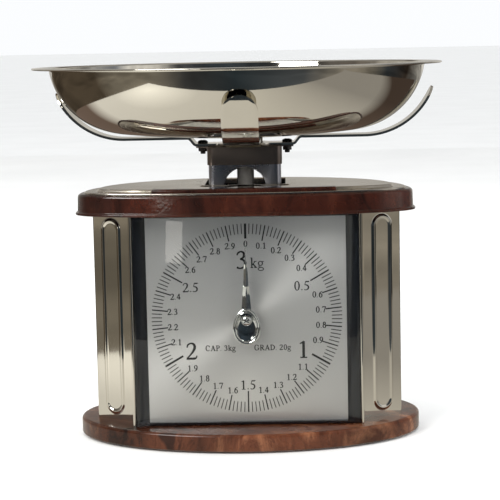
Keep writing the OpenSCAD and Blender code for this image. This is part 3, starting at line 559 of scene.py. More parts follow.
def wrap_path():
    """Outer plan of the wrap from the right front hem round the back to the left one."""
    start = [(window_half_w, window_y + 1, 0), (window_half_w, recess_y, 4.5), (wrap_half_w, wrap_mid_y, 1.2)]
    curve = arc(0, 0, 1, 3, 177, 140)
    back = [(x * wrap_half_w, wrap_mid_y + y * wrap_back, 0) for x, y in curve]
    end = [(-x, y, r) for x, y, r in reversed(start)]
    path = rounded(start + back + end, 10, closed=False)
    fine = 0.42
    return resampled(path, lambda p: fine if p.y < wrap_mid_y and abs(p.x) > window_half_w else 2.5)


def bead_height(x, y, z):
    """Relief of a column face: a rounded bead round an oblong panel that is slightly proud itself."""
    face = Vector((wrap_half_w - window_half_w, wrap_mid_y - recess_y)).normalized()
    middle = Vector(((wrap_half_w + window_half_w) / 2 + 1, (wrap_mid_y + recess_y) / 2 + 0.6))
    along = (Vector((abs(x), y)) - middle).dot(face)
    upright = z - (base_top + case_top) / 2
    half_h, half_w, bead_half = 56.6, 5.6, 1.5
    far = hypot(along, max(0, abs(upright) - (half_h - half_w))) - half_w
    if y > wrap_mid_y or abs(x) < window_half_w + 1:
        return 0
    ridge = cos(pi / 2 * min(1, abs(far) / bead_half)) ** 2
    panel = 0.3 * min(1, max(0, -far / 1.2)) ** 2
    return 0.95 * ridge + panel


def build_wrap():
    sheet = 0.8
    path = wrap_path()
    n = len(path)
    normals = []
    for i in range(n):
        a, b = Vector(path[max(i - 1, 0)]), Vector(path[min(i + 1, n - 1)])
        d = (b - a).normalized()
        normals.append(Vector((d.y, -d.x)))
    end_zone, end_steps, middle_steps = 18, 44, 12
    ends = [base_top + end_zone * k / end_steps for k in range(end_steps + 1)]
    middle = [base_top + end_zone + (case_top - base_top - 2 * end_zone) * k / middle_steps
        for k in range(1, middle_steps)]
    levels = ends + middle + [base_top + case_top - z for z in reversed(ends)]
    points = []
    for z in levels:
        for (x, y), nrm in zip(path, normals):
            out = bead_height(x, y, z)
            points.append((x + nrm.x * out, y + nrm.y * out, z))
        points += [(x - nrm.x * sheet, y - nrm.y * sheet, z) for (x, y), nrm in zip(path, normals)]
    row = 2 * n
    faces = []
    for j in range(len(levels) - 1):
        a, b = j * row, (j + 1) * row
        for k in range(n - 1):
            faces.append((a + k, a + k + 1, b + k + 1, b + k))
            faces.append((a + n + k + 1, a + n + k, b + n + k, b + n + k + 1))
        faces.append((a + n, a, b, b + n))
        faces.append((a + n - 1, a + row - 1, b + row - 1, b + n - 1))
    for a, turn in ((0, 1), ((len(levels) - 1) * row, -1)):
        faces += [(a + k + 1, a + k, a + n + k, a + n + k + 1)[::turn] for k in range(n - 1)]
    z0, z1, half, r = low("zero_wheel").z - 0.3, high("zero_wheel").z + 0.3, 11.5, 1.2
    corners = rounded([(-half, z0, r), (half, z0, r), (half, z1, r), (-half, z1, r)], 6)
    back_y = wrap_mid_y + wrap_back
    slot = skin([[(x, y, z) for x, z in corners] for y in (back_y - 8, back_y + 4)])
    piece("wrap_sheet", (points, faces), "case", polished_steel, ["steel_wrap"], sharp=40,
        cuts=[slot])

    hem_r, hem_depth = 0.85, 5
    front_y, outside = window_y + 0.02, window_half_w + 0.85
    inside = window_half_w - 2 * hem_r + 0.85
    hem = rounded([(inside, front_y, hem_r - 0.05), (outside, front_y, hem_r - 0.05),
        (outside, window_y + hem_depth, 0.3), (inside, window_y + hem_depth, 0.3)], 6)
    strip = prism(hem, base_top + 0.02, case_top - 0.02)
    piece("wrap_hems", joined(strip, mirrored(strip)), "case", polished_steel)


# ---------- cap and top plate ----------

def build_cap():
    band_wall, deck, rim = 2.2, 2.4, 1.8
    profile = rounded_line([(band_wall, case_top, 0.2), (-cap_lip, case_top, 0.45),
        (-cap_lip, case_top + 1.3, 0.6), (-0.05, case_top + 1.7, 0.7), (0.25, cap_top, rim),
        (band_wall + 8, cap_top, 0)], 7)
    rings = [raised(cap_plan(inset), z) for inset, z in profile]
    outer = cap_plan(0)
    opening = hole_plan(25.5, 24.5, outer)
    rings += [raised(opening, cap_top), raised(opening, cap_top - deck), raised(cap_plan(band_wall),
        cap_top - deck)]
    piece("cap_band", skin(rings, torus=True), "case", cap_burl, ["cap_moulding"], sharp=40)

    ledge_half, ledge_depth, inset = 53, 9, 6
    front = sorted(p for p in cap_plan(inset, 1024) if p[1] < cap_mid_y and abs(p[0]) <= ledge_half)[::4]
    rear = [(x, y + ledge_depth) for x, y in reversed(front)]
    obj = bare("cap_ledge", skin([raised(front + rear, cap_top - 0.6), raised(front + rear, ledge_top)]))
    clean(obj.data, 30)
    bevel(obj, 1.1, 5)
    dressed(obj, "case", cap_burl, sharp=40)


def build_top_plate():
    edge, step, sheet = 4, 7, 1
    pad_top = high("top_plate").z
    deck_top = pad_top - 0.6
    outer = cap_plan(0)
    profile = rounded_line([(edge + 1.5, cap_top + 0.03, 0), (edge, cap_top + 0.03, 0.15),
        (edge, cap_top + sheet, 0.5), (edge + step, cap_top + sheet, 0.9), (edge + step + 1.1, deck_top,
        1.1), (edge + step + 9, deck_top, 0)], 6)
    rings = [raised(cap_plan(inset), z) for inset, z in profile]
    pads = [(27.0, 26.0, deck_top), (26.4, 25.4, deck_top + 0.08), (25.8, 24.8, pad_top - 0.1),
        (25.2, 24.2, pad_top), (24.0, 23.0, pad_top), (23.5, 22.5, pad_top - 0.4),
        (23.5, 22.5, cap_top + 0.3)]
    rings += [raised(hole_plan(w, d, outer), z) for w, d, z in pads]
    rings += [raised(cap_plan(edge + step + 2), deck_top - 1.5), raised(cap_plan(edge + step + 1),
        cap_top + 0.03)]
    half, r = 1.9, 0.55
    slots = []
    for x in (-28.1, 28.1):
        for y in (-11, 11):
            corners = ((x - half, y - r), (x + half, y - r), (x + half, y + r), (x - half, y + r))
            slots.append(prism(rounded([(*c, r - 0.02) for c in corners], 4), cap_top - 2, pad_top + 3))
    piece("plate_sheet", skin(rings, torus=True), "case", plate_steel, ["top_plate"],
        sharp=40, cuts=slots)


# ---------- window and dial ----------

def build_window():
    half_w, back_y, front_y = high("front_lens").x, high("front_lens").y, low("front_lens").y
    thick, side, chord = 2, 1.2, 65
    bulge = window_y - front_y
    arc_r = (chord ** 2 + bulge ** 2) / (2 * bulge)
    centre_y = front_y + arc_r
    reach = degrees(asin(half_w / arc_r))
    reach_in = degrees(asin((half_w - side) / (arc_r - thick)))
    outline = arc(0, centre_y, arc_r, 270 - reach, 270 + reach, 64)
    outline += [(half_w, back_y), (half_w - side, back_y)]
    outline += arc(0, centre_y, arc_r - thick, 270 + reach_in, 270 - reach_in, 64)
    outline += [(-half_w + side, back_y), (-half_w, back_y)]
    shape = prism(outline, low("front_lens").z, high("front_lens").z)
    piece("window_lens", shape, "case", clear_window, ["front_lens"], edge=0.25, sharp=30)


# Printed characters are strokes of changing width, drawn in thousandths of the capital height.

SERIF, STEM, DIGIT, CAPITAL = 34, 115, 740, 1000


def parts_of_capital(*numbers):
    return tuple(n / CAPITAL for n in numbers)


def ring(x, y, rx, ry, thick=STEM, thin=35):
    x, y, rx, ry, thick, thin = parts_of_capital(x, y, rx, ry, thick, thin)
    stroke = []
    for a in full_turn(28) + [2 * pi]:
        w = thin + (thick - thin) * abs(cos(a)) ** 1.3
        stroke.append((x + (rx - w / 2) * cos(a), y + (ry - w / 2) * sin(a), w))
    return ("path", stroke)


def line(x0, y0, x1, y1, w):
    return ("path", [parts_of_capital(x0, y0, w), parts_of_capital(x1, y1, w)])


def foot(x0, x1):
    return line(x0, 17, x1, 17, SERIF)


def head(x0, x1):
    return line(x0, 963, x1, 963, SERIF)


def curve(*knots):
    """Smooth stroke through (x, y, width) knots."""
    points = [Vector(parts_of_capital(*k)) for k in knots]
    points = [2 * points[0] - points[1]] + points + [2 * points[-1] - points[-2]]
    out = []
    steps = 6
    for a, b, c, d in zip(points, points[1:], points[2:], points[3:]):
        for k in range(steps):
            t = k / steps
            out.append(0.5 * ((2 * b) + (c - a) * t + (2 * a - 5 * b + 4 * c - d) * t * t
                + (3 * b - a - 3 * c + d) * t ** 3))
    out.append(points[-2])
    return ("path", [(p.x, p.y, max(0.015, p.z)) for p in out])


def dot(x, y, r):
    return ("dot", parts_of_capital(x, y, r))


def turned(strokes, width, height):
    width, height = parts_of_capital(width, height)
    out = []
    for kind, data in strokes:
        if kind == "dot":
            out.append((kind, (width - data[0], height - data[1], data[2])))
        else:
            out.append((kind, [(width - x, height - y, w) for x, y, w in data]))
    return out


SIX = [ring(370, 310, 270, 330), curve((640, 980, 20), (440, 910, 60), (250, 720, 100), (155, 400, 110))]
BIG_C = curve((750, 740, 30), (620, 920, 50), (430, 980, 45), (210, 850, 100), (130, 500, 130),
    (210, 150, 100), (430, 20, 45), (620, 60, 50), (770, 200, 30))
BIG_P = [line(230, 0, 230, 980, STEM), foot(60, 400), head(60, 300), curve((220, 960, 35), (460, 945, 45),
    (620, 860, 100), (650, 720, 120), (600, 580, 100), (440, 485, 45), (240, 475, 35))]
GLYPHS = {
    "0": (DIGIT, [ring(370, 490, 280, 500)]),
    "1": (DIGIT, [line(390, 0, 390, 970, STEM), curve((170, 840, 30), (300, 890, 50), (420, 980, 30)),
        foot(190, 590)]),
    "2": (DIGIT, [curve((90, 700, 30), (150, 860, 60), (320, 950, 50), (490, 890, 100), (540, 710, 120),
        (460, 500, 100), (280, 260, 50), (90, 70, 40)), curve((50, 45, 90), (300, 45, 90), (520, 50, 90),
        (610, 90, 60), (670, 220, 20))]),
    "3": (DIGIT, [curve((100, 760, 30), (180, 900, 60), (330, 960, 50), (470, 890, 90), (500, 750, 110),
        (430, 620, 70), (270, 545, 40)), curve((270, 545, 40), (470, 470, 80), (560, 290, 125),
        (480, 110, 90), (300, 30, 45), (140, 50, 50)), dot(130, 70, 60)]),
    "4": (DIGIT, [line(450, 0, 450, 970, STEM), line(50, 290, 670, 290, 85),
        curve((70, 290, 45), (250, 620, 40), (440, 950, 45))]),
    "5": (DIGIT, [curve((620, 990, 20), (560, 935, 80), (400, 925, 95), (230, 925, 95)),
        line(250, 950, 160, 580, 40), curve((150, 580, 30), (330, 565, 90), (490, 470, 110),
        (540, 290, 120), (460, 120, 90), (280, 30, 45), (140, 50, 50)), dot(130, 70, 55)]),
    "6": (DIGIT, SIX),
    "7": (DIGIT, [line(90, 925, 660, 925, 95), curve((640, 940, 50), (520, 620, 60), (390, 280, 90),
        (330, 0, 100)), curve((100, 930, 50), (70, 840, 30), (50, 760, 20))]),
    "8": (DIGIT, [ring(370, 745, 220, 240), ring(370, 270, 270, 290)]),
    "9": (DIGIT, turned(SIX, DIGIT, 980)),
    ".": (300, [dot(140, 65, 68)]),
    " ": (420, []),
    "k": (DIGIT, [line(180, 0, 180, 1020, 100), foot(40, 330), line(40, 1000, 200, 1000, SERIF),
        line(210, 290, 520, 620, 40), line(380, 640, 660, 640, SERIF), line(290, 400, 580, 30, 100),
        foot(420, 720)]),
    "g": (720, [ring(310, 430, 240, 230, 75), ring(340, -140, 300, 180, 50),
        curve((200, 250, 20), (130, 140, 30), (280, 60, 40), (480, 20, 30)),
        curve((460, 590, 20), (570, 630, 30), (660, 620, 30))]),
    "C": (920, [BIG_C, line(765, 660, 765, 980, SERIF)]),
    "G": (1000, [BIG_C, line(765, 660, 765, 980, SERIF), line(780, 60, 780, 420, STEM),
        line(580, 415, 940, 415, SERIF)]),
    "A": (980, [line(180, 0, 500, 990, 45), line(460, 990, 800, 0, 120), line(270, 330, 680, 330, 40),
        foot(30, 340), foot(620, 970)]),
    "P": (800, BIG_P),
    "R": (930, BIG_P + [line(400, 490, 760, 20, 110), foot(680, 930)]),
    "D": (980, [line(210, 0, 210, 980, STEM), foot(50, 300), head(50, 300),
        curve((200, 960, 35), (500, 920, 60), (740, 730, 110), (810, 490, 130), (740, 250, 110),
        (500, 60, 60), (200, 20, 35))]),
}


def stroke_patches(kind, data):
    """Small polygons that cover one stroke or dot."""
    if kind == "dot":
        x, y, r = data
        return [[Vector(p) for p in arc(x, y, r, 0, 360, 20)[:-1]]]
    middle = [Vector((x, y)) for x, y, w in data]
    sides = []
    for i, (x, y, w) in enumerate(data):
        d = (middle[min(i + 1, len(middle) - 1)] - middle[max(i - 1, 0)]).normalized()
        side = Vector((-d.y, d.x)) * w / 2
        sides.append((middle[i] + side, middle[i] - side))
    return [corners for a, b in zip(sides, sides[1:]) for corners in ([a[0], a[1], b[1]], [a[0], b[1], b[0]])]


def merged_glyph(strokes):
    """One flat shape from overlapping strokes: its points, triangles and outline edges."""
    patches = [p for stroke in strokes for p in stroke_patches(*stroke)]
    points, faces = [], []
    for patch in patches:
        area = sum(a.x * b.y - b.x * a.y for a, b in zip(patch, patch[1:] + patch[:1]))
        if abs(area) < 1e-7:
            continue
        patch = patch if area > 0 else patch[::-1]
        faces.append(list(range(len(points), len(points) + len(patch))))
        points += patch
    result = delaunay_2d_cdt(points, [], faces, 1, 1e-4)
    triangles = [tuple(t) for t, sources in zip(result[2], result[5]) if sources]
    used = {}
    for t in triangles:
        for a, b in zip(t, t[1:] + t[:1]):
            used.setdefault(frozenset((a, b)), []).append((a, b))
    outline = [e[0] for e in used.values() if len(e) == 1]
    return result[0], triangles, outline


def heavier(strokes, extra):
    """The same strokes, each one wider by a share of the capital height."""
    return [(kind, data if kind == "dot" else [(x, y, w + extra) for x, y, w in data]) for kind,
        data in strokes]


PRINT_LEVELS = (dial_y - 0.05, dial_y + 0.01)


def text_shape(text, size, x, z, glyphs):
    """A line of print, centred at (x, z) on the dial face, as thin solid characters."""
    step = parts_of_capital(*(GLYPHS[c][0] for c in text))
    pen = x - sum(step) * size / 2
    parts = []
    for c, advance in zip(text, step):
        points, triangles, outline = glyphs[c]
        n = len(points)
        if n:
            solid = [(pen + p.x * size, y, z + (p.y - 0.5) * size) for y in PRINT_LEVELS for p in points]
            faces = list(triangles) + [tuple(i + n for i in reversed(t)) for t in triangles]
            faces += [(b, a, a + n, b + n) for a, b in outline]
            parts.append((solid, faces))
        pen += advance * size
    return joined(*parts)


def alphabet(extra):
    return {c: merged_glyph(heavier(strokes, extra)) if strokes else ([], [], []) for c,
        (w, strokes) in GLYPHS.items()}


def build_print():
    glyphs, small_glyphs = alphabet(0.04), alphabet(0.07)
    outer_r, marks = 55.0, 150
    kinds = ((marks, 8.7, 1.3), (50, 12, 1.15), (25, 12.4, 0.8), (5, 9.2, 0.7), (1, 6, 0.5))
    parts = []
    for i, a in enumerate(full_turn(marks)):
        length, width = next(kind[1:] for kind in kinds if i % kind[0] == 0)
        out, side = Vector((sin(a), cos(a))), Vector((cos(a), -sin(a))) * width / 2
        tip, root = out * outer_r, out * (outer_r - length)
        corners = (tip + side, tip - side, root - side, root + side)
        parts.append(skin([[(c.x, y, dial_z + c.y) for c in corners] for y in PRINT_LEVELS]))
    for tenth, a in list(enumerate(full_turn(30)))[1:]:
        text, letters = f"{tenth / 10:.1f}", glyphs
        if tenth % 10 == 0:
            radius, size, text = 37.2, 9.9, text[0]
        elif tenth % 5 == 0:
            radius, size = (39.0 if tenth == 15 else 37.0), 5.4
        else:
            radius, size, letters = 43.0, 3.5, small_glyphs
        parts.append(text_shape(text, size, radius * sin(a), dial_z + radius * cos(a), letters))
    label_size, label_z = 3.15, -17.2
    singles = (("0", 3.5, 0, 43.3, small_glyphs), ("3", 10.4, -2.2, 34, glyphs),
        ("kg", 5.7, 6.6, 32.2, glyphs), ("CAP. 3kg", label_size, -15.5, label_z, small_glyphs),
        ("GRAD. 20g", label_size, 14.6, label_z, small_glyphs))
    for text, size, x, z, letters in singles:
        parts.append(text_shape(text, size, x, dial_z + z, letters))
    piece("dial_print", joined(*parts), "case", ink_black, sharp=30)


# ---------- pointer ----------

def build_pointer():
    front = low("pointer").y
    back = front + 1.6
    tip = high("pointer").z - dial_z
    sections = [(5.4, 2.9, 0.5), (7, 2.7, 0.9), (19.2, 1.72, 0.75), (19.7, 1.62, 0.35), (20.2, 1.5, 0.6),
        (31.6, 0.95, 0.55), (32.2, 0.85, 0.2), (32.9, 0.55, 0.1)]
    rings = []
    for z, half, ridge in sections:
        y = front + 0.12
        across = [(half, back - 0.3), (half, y + ridge), (half * 0.45, y + ridge * 0.45), (0, y)]
        rings.append(raised(across + [(-x, depth) for x, depth in across[-2::-1]], dial_z + z))
    needle = skin(rings)
    wire = lathe([(0, 31), (0.3, 31), (0.26, tip - 0.3), (0.12, tip), (0, tip)], (0, 0, dial_z), 16)
    wire = ([(x, y + (front + back) / 2, z) for x, y, z in wire[0]], wire[1])

    half_w, half_h, middle, rim_w = 8.0, 10.7, -3.9, 2.5
    rim = [(0.9, back), (0.15, back), (0, back - 0.15)]
    rim += [(inset, front + y) for inset, y in ((0, 0.75), (0.12, 0.42), (0.4, 0.2), (0.8, 0.12),
        (1.15, 0.25), (1.3, 0.6), (1.5, 0.72), (1.75, 0.6), (2.0, 0.5), (2.25, 0.6), (2.45, 0.9))]
    dish = ((1.0, 0.9), (0.93, 1.12), (0.8, 1.27), (0.6, 1.38), (0.35, 1.45), (0.12, 1.48), (0.0, 1.48))

    def drop(w, h, y):
        return [(w * cos(a) * (1 - 0.10 * sin(a)), y, dial_z + middle + h * sin(a)) for a in full_turn(96)]

    def turned_part(corners):
        return lathe(rounded_line(corners, 4), (0, back, dial_z), 48, "y")

    rings = [drop(0, 0, back)] + [drop(half_w - i, half_h - i, y) for i, y in rim]
    rings += [drop((half_w - rim_w) * k, (half_h - rim_w) * k, front + y) for k, y in dish]
    hub = skin(rings, caps=False)
    boss = turned_part([(0, 0.4, 0), (2.3, 0.4, 0), (2.3, 2.25, 0.25), (0, 2.25, 0)])
    end = back - high("pointer").y
    collar = turned_part([(0, end, 0), (3, end, 0.3), (3, 0.2, 0), (0, 0.2, 0)])
    piece("pointer_arm", joined(needle, wire, hub, boss, collar), "pointer_unit",
        pointer_chrome, ["pointer"], sharp=28)
    refined("pointer_screw", "pointer_head", "pointer_unit", pointer_chrome, 0.12, 3)


# ---------- column and arms ----------

def build_arms():
    sheet, half_w, fillet = 1.4, 10, 7
    flange, joggle = 29.2, 3.2
    flat_z, curve_r = 175, 43.6
    tip_z = high("spider").z
    reach = high("spider").x
    corner = half_w + fillet
    mid_r = curve_r - sheet / 2
    curve_z = flat_z + curve_r
    end = degrees(asin((tip_z - curve_z) / curve_r))
    curve_x = reach - curve_r * cos(radians(end))
    path = rounded_line([(0, saddle_top + sheet / 2, 0), (flange, saddle_top + sheet / 2, 2.2),
        (flange + joggle, flat_z + sheet / 2, 2.2), (curve_x, flat_z + sheet / 2, 0)], 6)
    path += arc(curve_x, curve_z, mid_r, -90, end, 40)[1:]
    path = [Vector(p) for p in path]
    runs = np.concatenate([[0], np.cumsum([(b - a).length for a, b in zip(path, path[1:])])])
    total = runs[-1]
    xs, zs = np.array([p.x for p in path]), np.array([p.y for p in path])

    meet = corner - fillet / sqrt(2)
    stations = list(np.linspace(0, meet, 5)) + list(np.linspace(meet, corner, 8)[1:])
    stations += [s for s in sorted(set(runs) | set(np.linspace(corner, total - half_w, 50))) if corner
        + 0.2 < s < total - half_w - 0.2]
    stations += [total - half_w * (1 - sin(a)) for a in np.linspace(0, pi / 2, 18)]

    def width_at(s):
        if s < meet:
            return s
        if s < corner:
            return corner - sqrt(max(0, fillet ** 2 - (corner - s) ** 2))
        if s > total - half_w:
            return sqrt(max(0, half_w ** 2 - (s - total + half_w) ** 2))
        return half_w

    columns = np.linspace(-1, 1, 9)
    rows = []
    for s in stations:
        x, z, w = np.interp(s, runs, xs), np.interp(s, runs, zs), width_at(s)
        rows.append([(x, w * c, z) for c in columns])
    points, faces = skin(rows, caps=False, closed=False)
    arms = [([(x * c - y * s, x * s + y * c, z) for x, y, z in points], faces) for c,
        s in ((1, 0), (0, 1), (-1, 0), (0, -1))]
    obj = bare("arm_cross", joined(*arms))
    clean(obj.data, 30)
    apply_modifier(obj, "SOLIDIFY", thickness=sheet * MM, offset=0, use_even_offset=True)
    bevel(obj, 0.42, 3, 50)
    dressed(obj, "load_carrier", polished_steel, ["spider"], 35)


def domed_screw(x, y, z, r, h, shank_r, shank):
    """Pan-head screw with a rounded crown and a plain shank below it."""
    profile = [(0, h)] + [(r * sin(a), h * 0.35 + h * 0.65 * cos(a)) for a in np.linspace(0.12, pi / 2, 10)]
    profile += [(r, h * 0.2), (r - 0.15, 0.0), (shank_r, 0.0), (shank_r, -shank + 0.3),
        (shank_r - 0.3, -shank), (0, -shank)]
    return lathe(profile, (x, y, z), 40)


def cross_slot(x, y, z, r):
    half = 0.36
    return [block(x - r, x + r, y - half, y + half, z, z + 3), block(x - half, x + half, y - r, y + r, z,
        z + 3)]


def hex_nut(x, y, z0, z1, r):
    """Chamfered hexagon nut."""
    angles = [radians(60 * i + 30) for i in range(6)]
    levels = (0.90, z0), (1.0, z0 + 0.35), (1.0, z1 - 0.35), (0.90, z1)
    return skin([[(x + r * k * cos(a), y + r * k * sin(a), z) for a in angles] for k, z in levels])


def build_column():
    refined("column_shroud", "column_tube", "load_carrier", shroud_steel, 0.35, 3)
    refined("column_saddle", "column_cover", "load_carrier", smoked_steel, 0.3, 3)
    flange_top = saddle_top + 1.4
    screw_x = (high("spider_screws").x + low("spider_screws").x) / 2 + high("spider_screws").x - 3
    cuts, parts = [], []
    for x in (-screw_x, screw_x):
        parts.append(domed_screw(x, 0, flange_top, 3, 1.9, 1.5, 6.4))
        cuts += cross_slot(x, 0, flange_top + 1.0, 1.7)
    piece("arm_bolts", joined(*parts), "load_carrier", dark_steel, ["spider_screws"],
        cuts=cuts)
    nut_low, nut_high = low("spider_nuts").z, high("spider_nuts").z
    nuts = [hex_nut(x, 0, nut_low, nut_high, 3) for x in (-screw_x, screw_x)]
    piece("arm_nuts", joined(*nuts), "load_carrier", dark_steel, ["spider_nuts"], edge=0.15)
    piece("centre_bolt", domed_screw(0, 0, flange_top, 3.4, 2.2, 1.5, 11), "load_carrier",
        fastener_steel, ["post_screw"], cuts=cross_slot(0, 0, flange_top + 1.2, 2.0))


# ---------- bowl ----------

def build_bowl():
    sheet, arc_r, arc_x, arc_rise = 1.0, 44.5, 66, 5.7
    drop = bowl_depth + arc_rise
    ball_r = (arc_x ** 2 + drop ** 2 - arc_r ** 2) / (2 * (drop - arc_r))
    arc_z = rim_z + arc_rise
    ball_z = rim_z - bowl_depth + ball_r
    lean = degrees(atan(arc_x / (ball_z - arc_z)))

    def face(inset, rim_level):
        """One face of the sheet, from its middle up to the rim level."""
        ball = arc(0, ball_z, ball_r - inset, 270, 270 + lean, 30)
        top = -degrees(asin((arc_z - rim_level) / (arc_r - inset)))
        return ball + arc(arc_x, arc_z, arc_r - inset, lean - 90, top, 36)[1:]

    outside = face(0, rim_z - sheet - 1.2)
    inside = face(sheet, rim_z - 1.2)
    neck = outside[-1]
    mouth = inside[-1]
    rim = rounded_line([(neck[0], neck[1], 0), (neck[0] + 0.25, rim_z - sheet, 1.0),
        (bowl_r, rim_z - sheet, 0.45), (bowl_r, rim_z, 0.45), (mouth[0] + 0.2, rim_z, 1.1),
        (mouth[0], mouth[1], 0)], 6)
    profile = outside[:-1] + rim + inside[::-1][1:]
    piece("bowl_shell", lathe(profile, (bowl_x, 0, 0), 256), "bowl", bowl_steel,
        ["weighing_bowl"], sharp=40)


# ---------- mechanism ----------

def tube(path, r, sides=12):
    """Round wire along a list of points, with flat ends."""
    path = [Vector(p) for p in path]
    rings = []
    side = Vector((1, 0, 0.01)).normalized()
    for i, p in enumerate(path):
        d = (path[min(i + 1, len(path) - 1)] - path[max(i - 1, 0)]).normalized()
        side = (side - side.dot(d) * d).normalized()
        other = d.cross(side)
        rings.append([p + r * (cos(a) * side + sin(a) * other) for a in full_turn(sides)])
    return skin(rings)


def build_spring():
    """Extension spring between its two eyes, built as one fixed shape; on the real scale it stretches as the
    carrier sinks.
    """
    top, foot = high("main_spring").z - 0.7, low("main_spring").z + 0.7
    wire, hook, turns, steps = 0.7, 4, 17, 32
    y0 = high("zero_rod").y - 2
    coil = (high("main_spring").x - low("main_spring").x) / 2 - wire
    coil_top, coil_foot = top - 2 * hook + 0.5, foot + 2 * hook - 0.5
    path = []
    hook_turns = [230 * k / 24 for k in range(25)]
    path = []
    for a in (radians(205 - turn) for turn in hook_turns):
        path.append((0, y0 + hook * cos(a), top - hook + hook * sin(a)))
    for k in range(turns * steps + 1):
        a = pi / 2 - 2 * pi * k / steps
        path.append((coil * cos(a), y0 + coil * sin(a),
            coil_top + (coil_foot - coil_top) * k / (turns * steps)))
    for a in (radians(-25 + turn) for turn in hook_turns):
        path.append((0, y0 + hook * cos(a), foot + hook - hook * sin(a)))
    obj = piece("spring_coil", tube(path, wire), None, spring_wire, ["main_spring"], sharp=50)
    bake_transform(obj)


def finish_cad_nodes():
    """Materials of the CAD nodes that keep their own shape."""
    finishes = {
        soft_rubber: ["overload_stop"],
        dial_silver: ["dial_plate"],
        plated_sheet: ["chassis_frame", "zero_bracket", "upper_link", "lower_link"],
        fastener_steel: ["base_screws", "cage_screws", "link_pivots", "bracket_screws", "zero_rod",
                         "carrier_pins", "rack_screws", "pointer_shaft", "shaft_clip"],
        cut_brass: ["movement_cage", "shaft_bushes", "toothed_rack", "pinion"],
    }
    for material, nodes in finishes.items():
        for name in nodes:
            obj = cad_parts[name]
            if not obj.material_slots:
                obj.data.materials.append(material)
            for slot_used in obj.material_slots:
                slot_used.material = material
    refined("dial_bezel", "dial_surround", "case", gloss_black, 0.2)
    refined("carrier_frame", "carrier_casting", "load_carrier", zinc_casting, 0.35)
    refined("zero_wheel", "zero_knob", "zero_wheel", gloss_black, 0.15)


# ---------- stage ----------

def card(name, x0, x1, y0, y1, z):
    """A level rectangle, in metres."""
    return bare(name, ([(x0, y0, z), (x1, y0, z), (x1, y1, z), (x0, y1, z)], [(0, 1, 2, 3)]), 1)


def mirror_only(obj, glow, tone):
    """Gives a surface its own light, which only mirrors see."""
    f = Finish(glow)
    light = f.add("Emission", Strength=1.0, Color=tone(f))
    obj.data.materials.append(f.shaded_by(light))
    for ray in ("camera", "diffuse", "transmission", "shadow", "volume_scatter"):
        setattr(obj, "visible_" + ray, False)


def table_tone(f):
    """Glow of the pale wood table as mirrors see it: painted shade makes it darker to the right, it is darker
    behind, and a painted highlight spot sits near the window corner.
    """
    x, y, z = f.split(f.place)
    # Painted shade: the glow fades from light on the left to dark on the right, where the table lies in
    # shadow.
    tone = f.ramp(f.span(x, -0.42, 0.42), (0.15, (0.80, 0.765, 0.69)), (0.55, (0.62, 0.585, 0.51)),
        (0.85, (0.30, 0.28, 0.25)))
    # Painted highlight: a bright glowing spot near the window corner, which the bowl shows as its highlight.
    painted_highlight_spot = f.gradient("SPHERICAL", f.placed(Location=(1.6, 1.25, 0), Scale=(6, 6, 6)))
    tone = f.mixed("ADD", f.math("MULTIPLY", painted_highlight_spot, 0.45), tone, (1.0, 0.97, 0.86, 1))
    behind = f.ramp(f.span(y, 0.08, 0.20), (0.0, 1.0), (1.0, (0.20, 0.15, 0.13)))
    return f.mixed("MULTIPLY", 1.0, tone, behind)


def ground_tone(f):
    """Bright and dark sectors of the room's floor around the scale."""
    base = f.ramp(f.gradient("RADIAL", f.place), (0.0, (0.06, 0.046, 0.032)), (0.045, (0.24, 0.21, 0.165)),
        (0.10, (0.24, 0.21, 0.165)), (0.17, (0.05, 0.05, 0.05)), (0.25, (0.020, 0.027, 0.032)),
        (0.36, (0.06, 0.065, 0.07)), (0.44, (0.28, 0.25, 0.205)), (0.49, (0.15, 0.135, 0.11)),
        (0.53, (0.032, 0.037, 0.042)), (0.60, (0.028, 0.020, 0.015)), (0.65, (0.24, 0.23, 0.21)),
        (0.79, (0.32, 0.30, 0.26)), (0.83, (0.07, 0.053, 0.036)), (1.0, (0.06, 0.046, 0.032)))
    return f.mixed("MULTIPLY", 1.0, base, f.ramp(f.noise(1.7, 3, 0.6, 0.5), (0.38, 0.55), (0.62, 1.35)))


def wall_tone(f):
    """Bright and dark sectors of the walls, dark above behind the camera."""
    around = f.gradient("RADIAL", f.place)
    base = f.ramp(around, (0.0, (0.16, 0.14, 0.12)), (0.13, (0.10, 0.095, 0.09)),
        (0.2, (0.03, 0.034, 0.038)), (0.30, (0.035, 0.045, 0.055)), (0.37, (0.07, 0.07, 0.075)),
        (0.41, (0.55, 0.53, 0.50)), (0.47, (0.62, 0.60, 0.57)), (0.5, (0.16, 0.17, 0.19)),
        (0.62, (0.42, 0.40, 0.37)), (0.75, (0.52, 0.50, 0.46)), (0.88, (0.44, 0.42, 0.38)),
        (1.0, (0.16, 0.14, 0.12)))
    behind = f.ramp(around, (0.66, 0.0), (0.70, 1.0), (0.81, 1.0), (0.85, 0.0))
    upper = f.span(f.split(f.place)[2], 0.8, 1.1)
    base = f.mixed("MIX", f.math("MULTIPLY", upper, behind), base, (0.045, 0.024, 0.018, 1))
    patches = f.noise(1.3, 3, 0.6, 0.8, place=f.placed(Scale=(1, 1, 0.45)))
    return f.mixed("MULTIPLY", 1.0, base, f.ramp(patches, (0.36, 0.6), (0.64, 1.4)))


def ceiling_tone(f):
    return f.ramp(f.noise(0.9, 3, 0.5, 0.4), (0.36, (0.20, 0.19, 0.175)), (0.64, (0.52, 0.50, 0.47)))


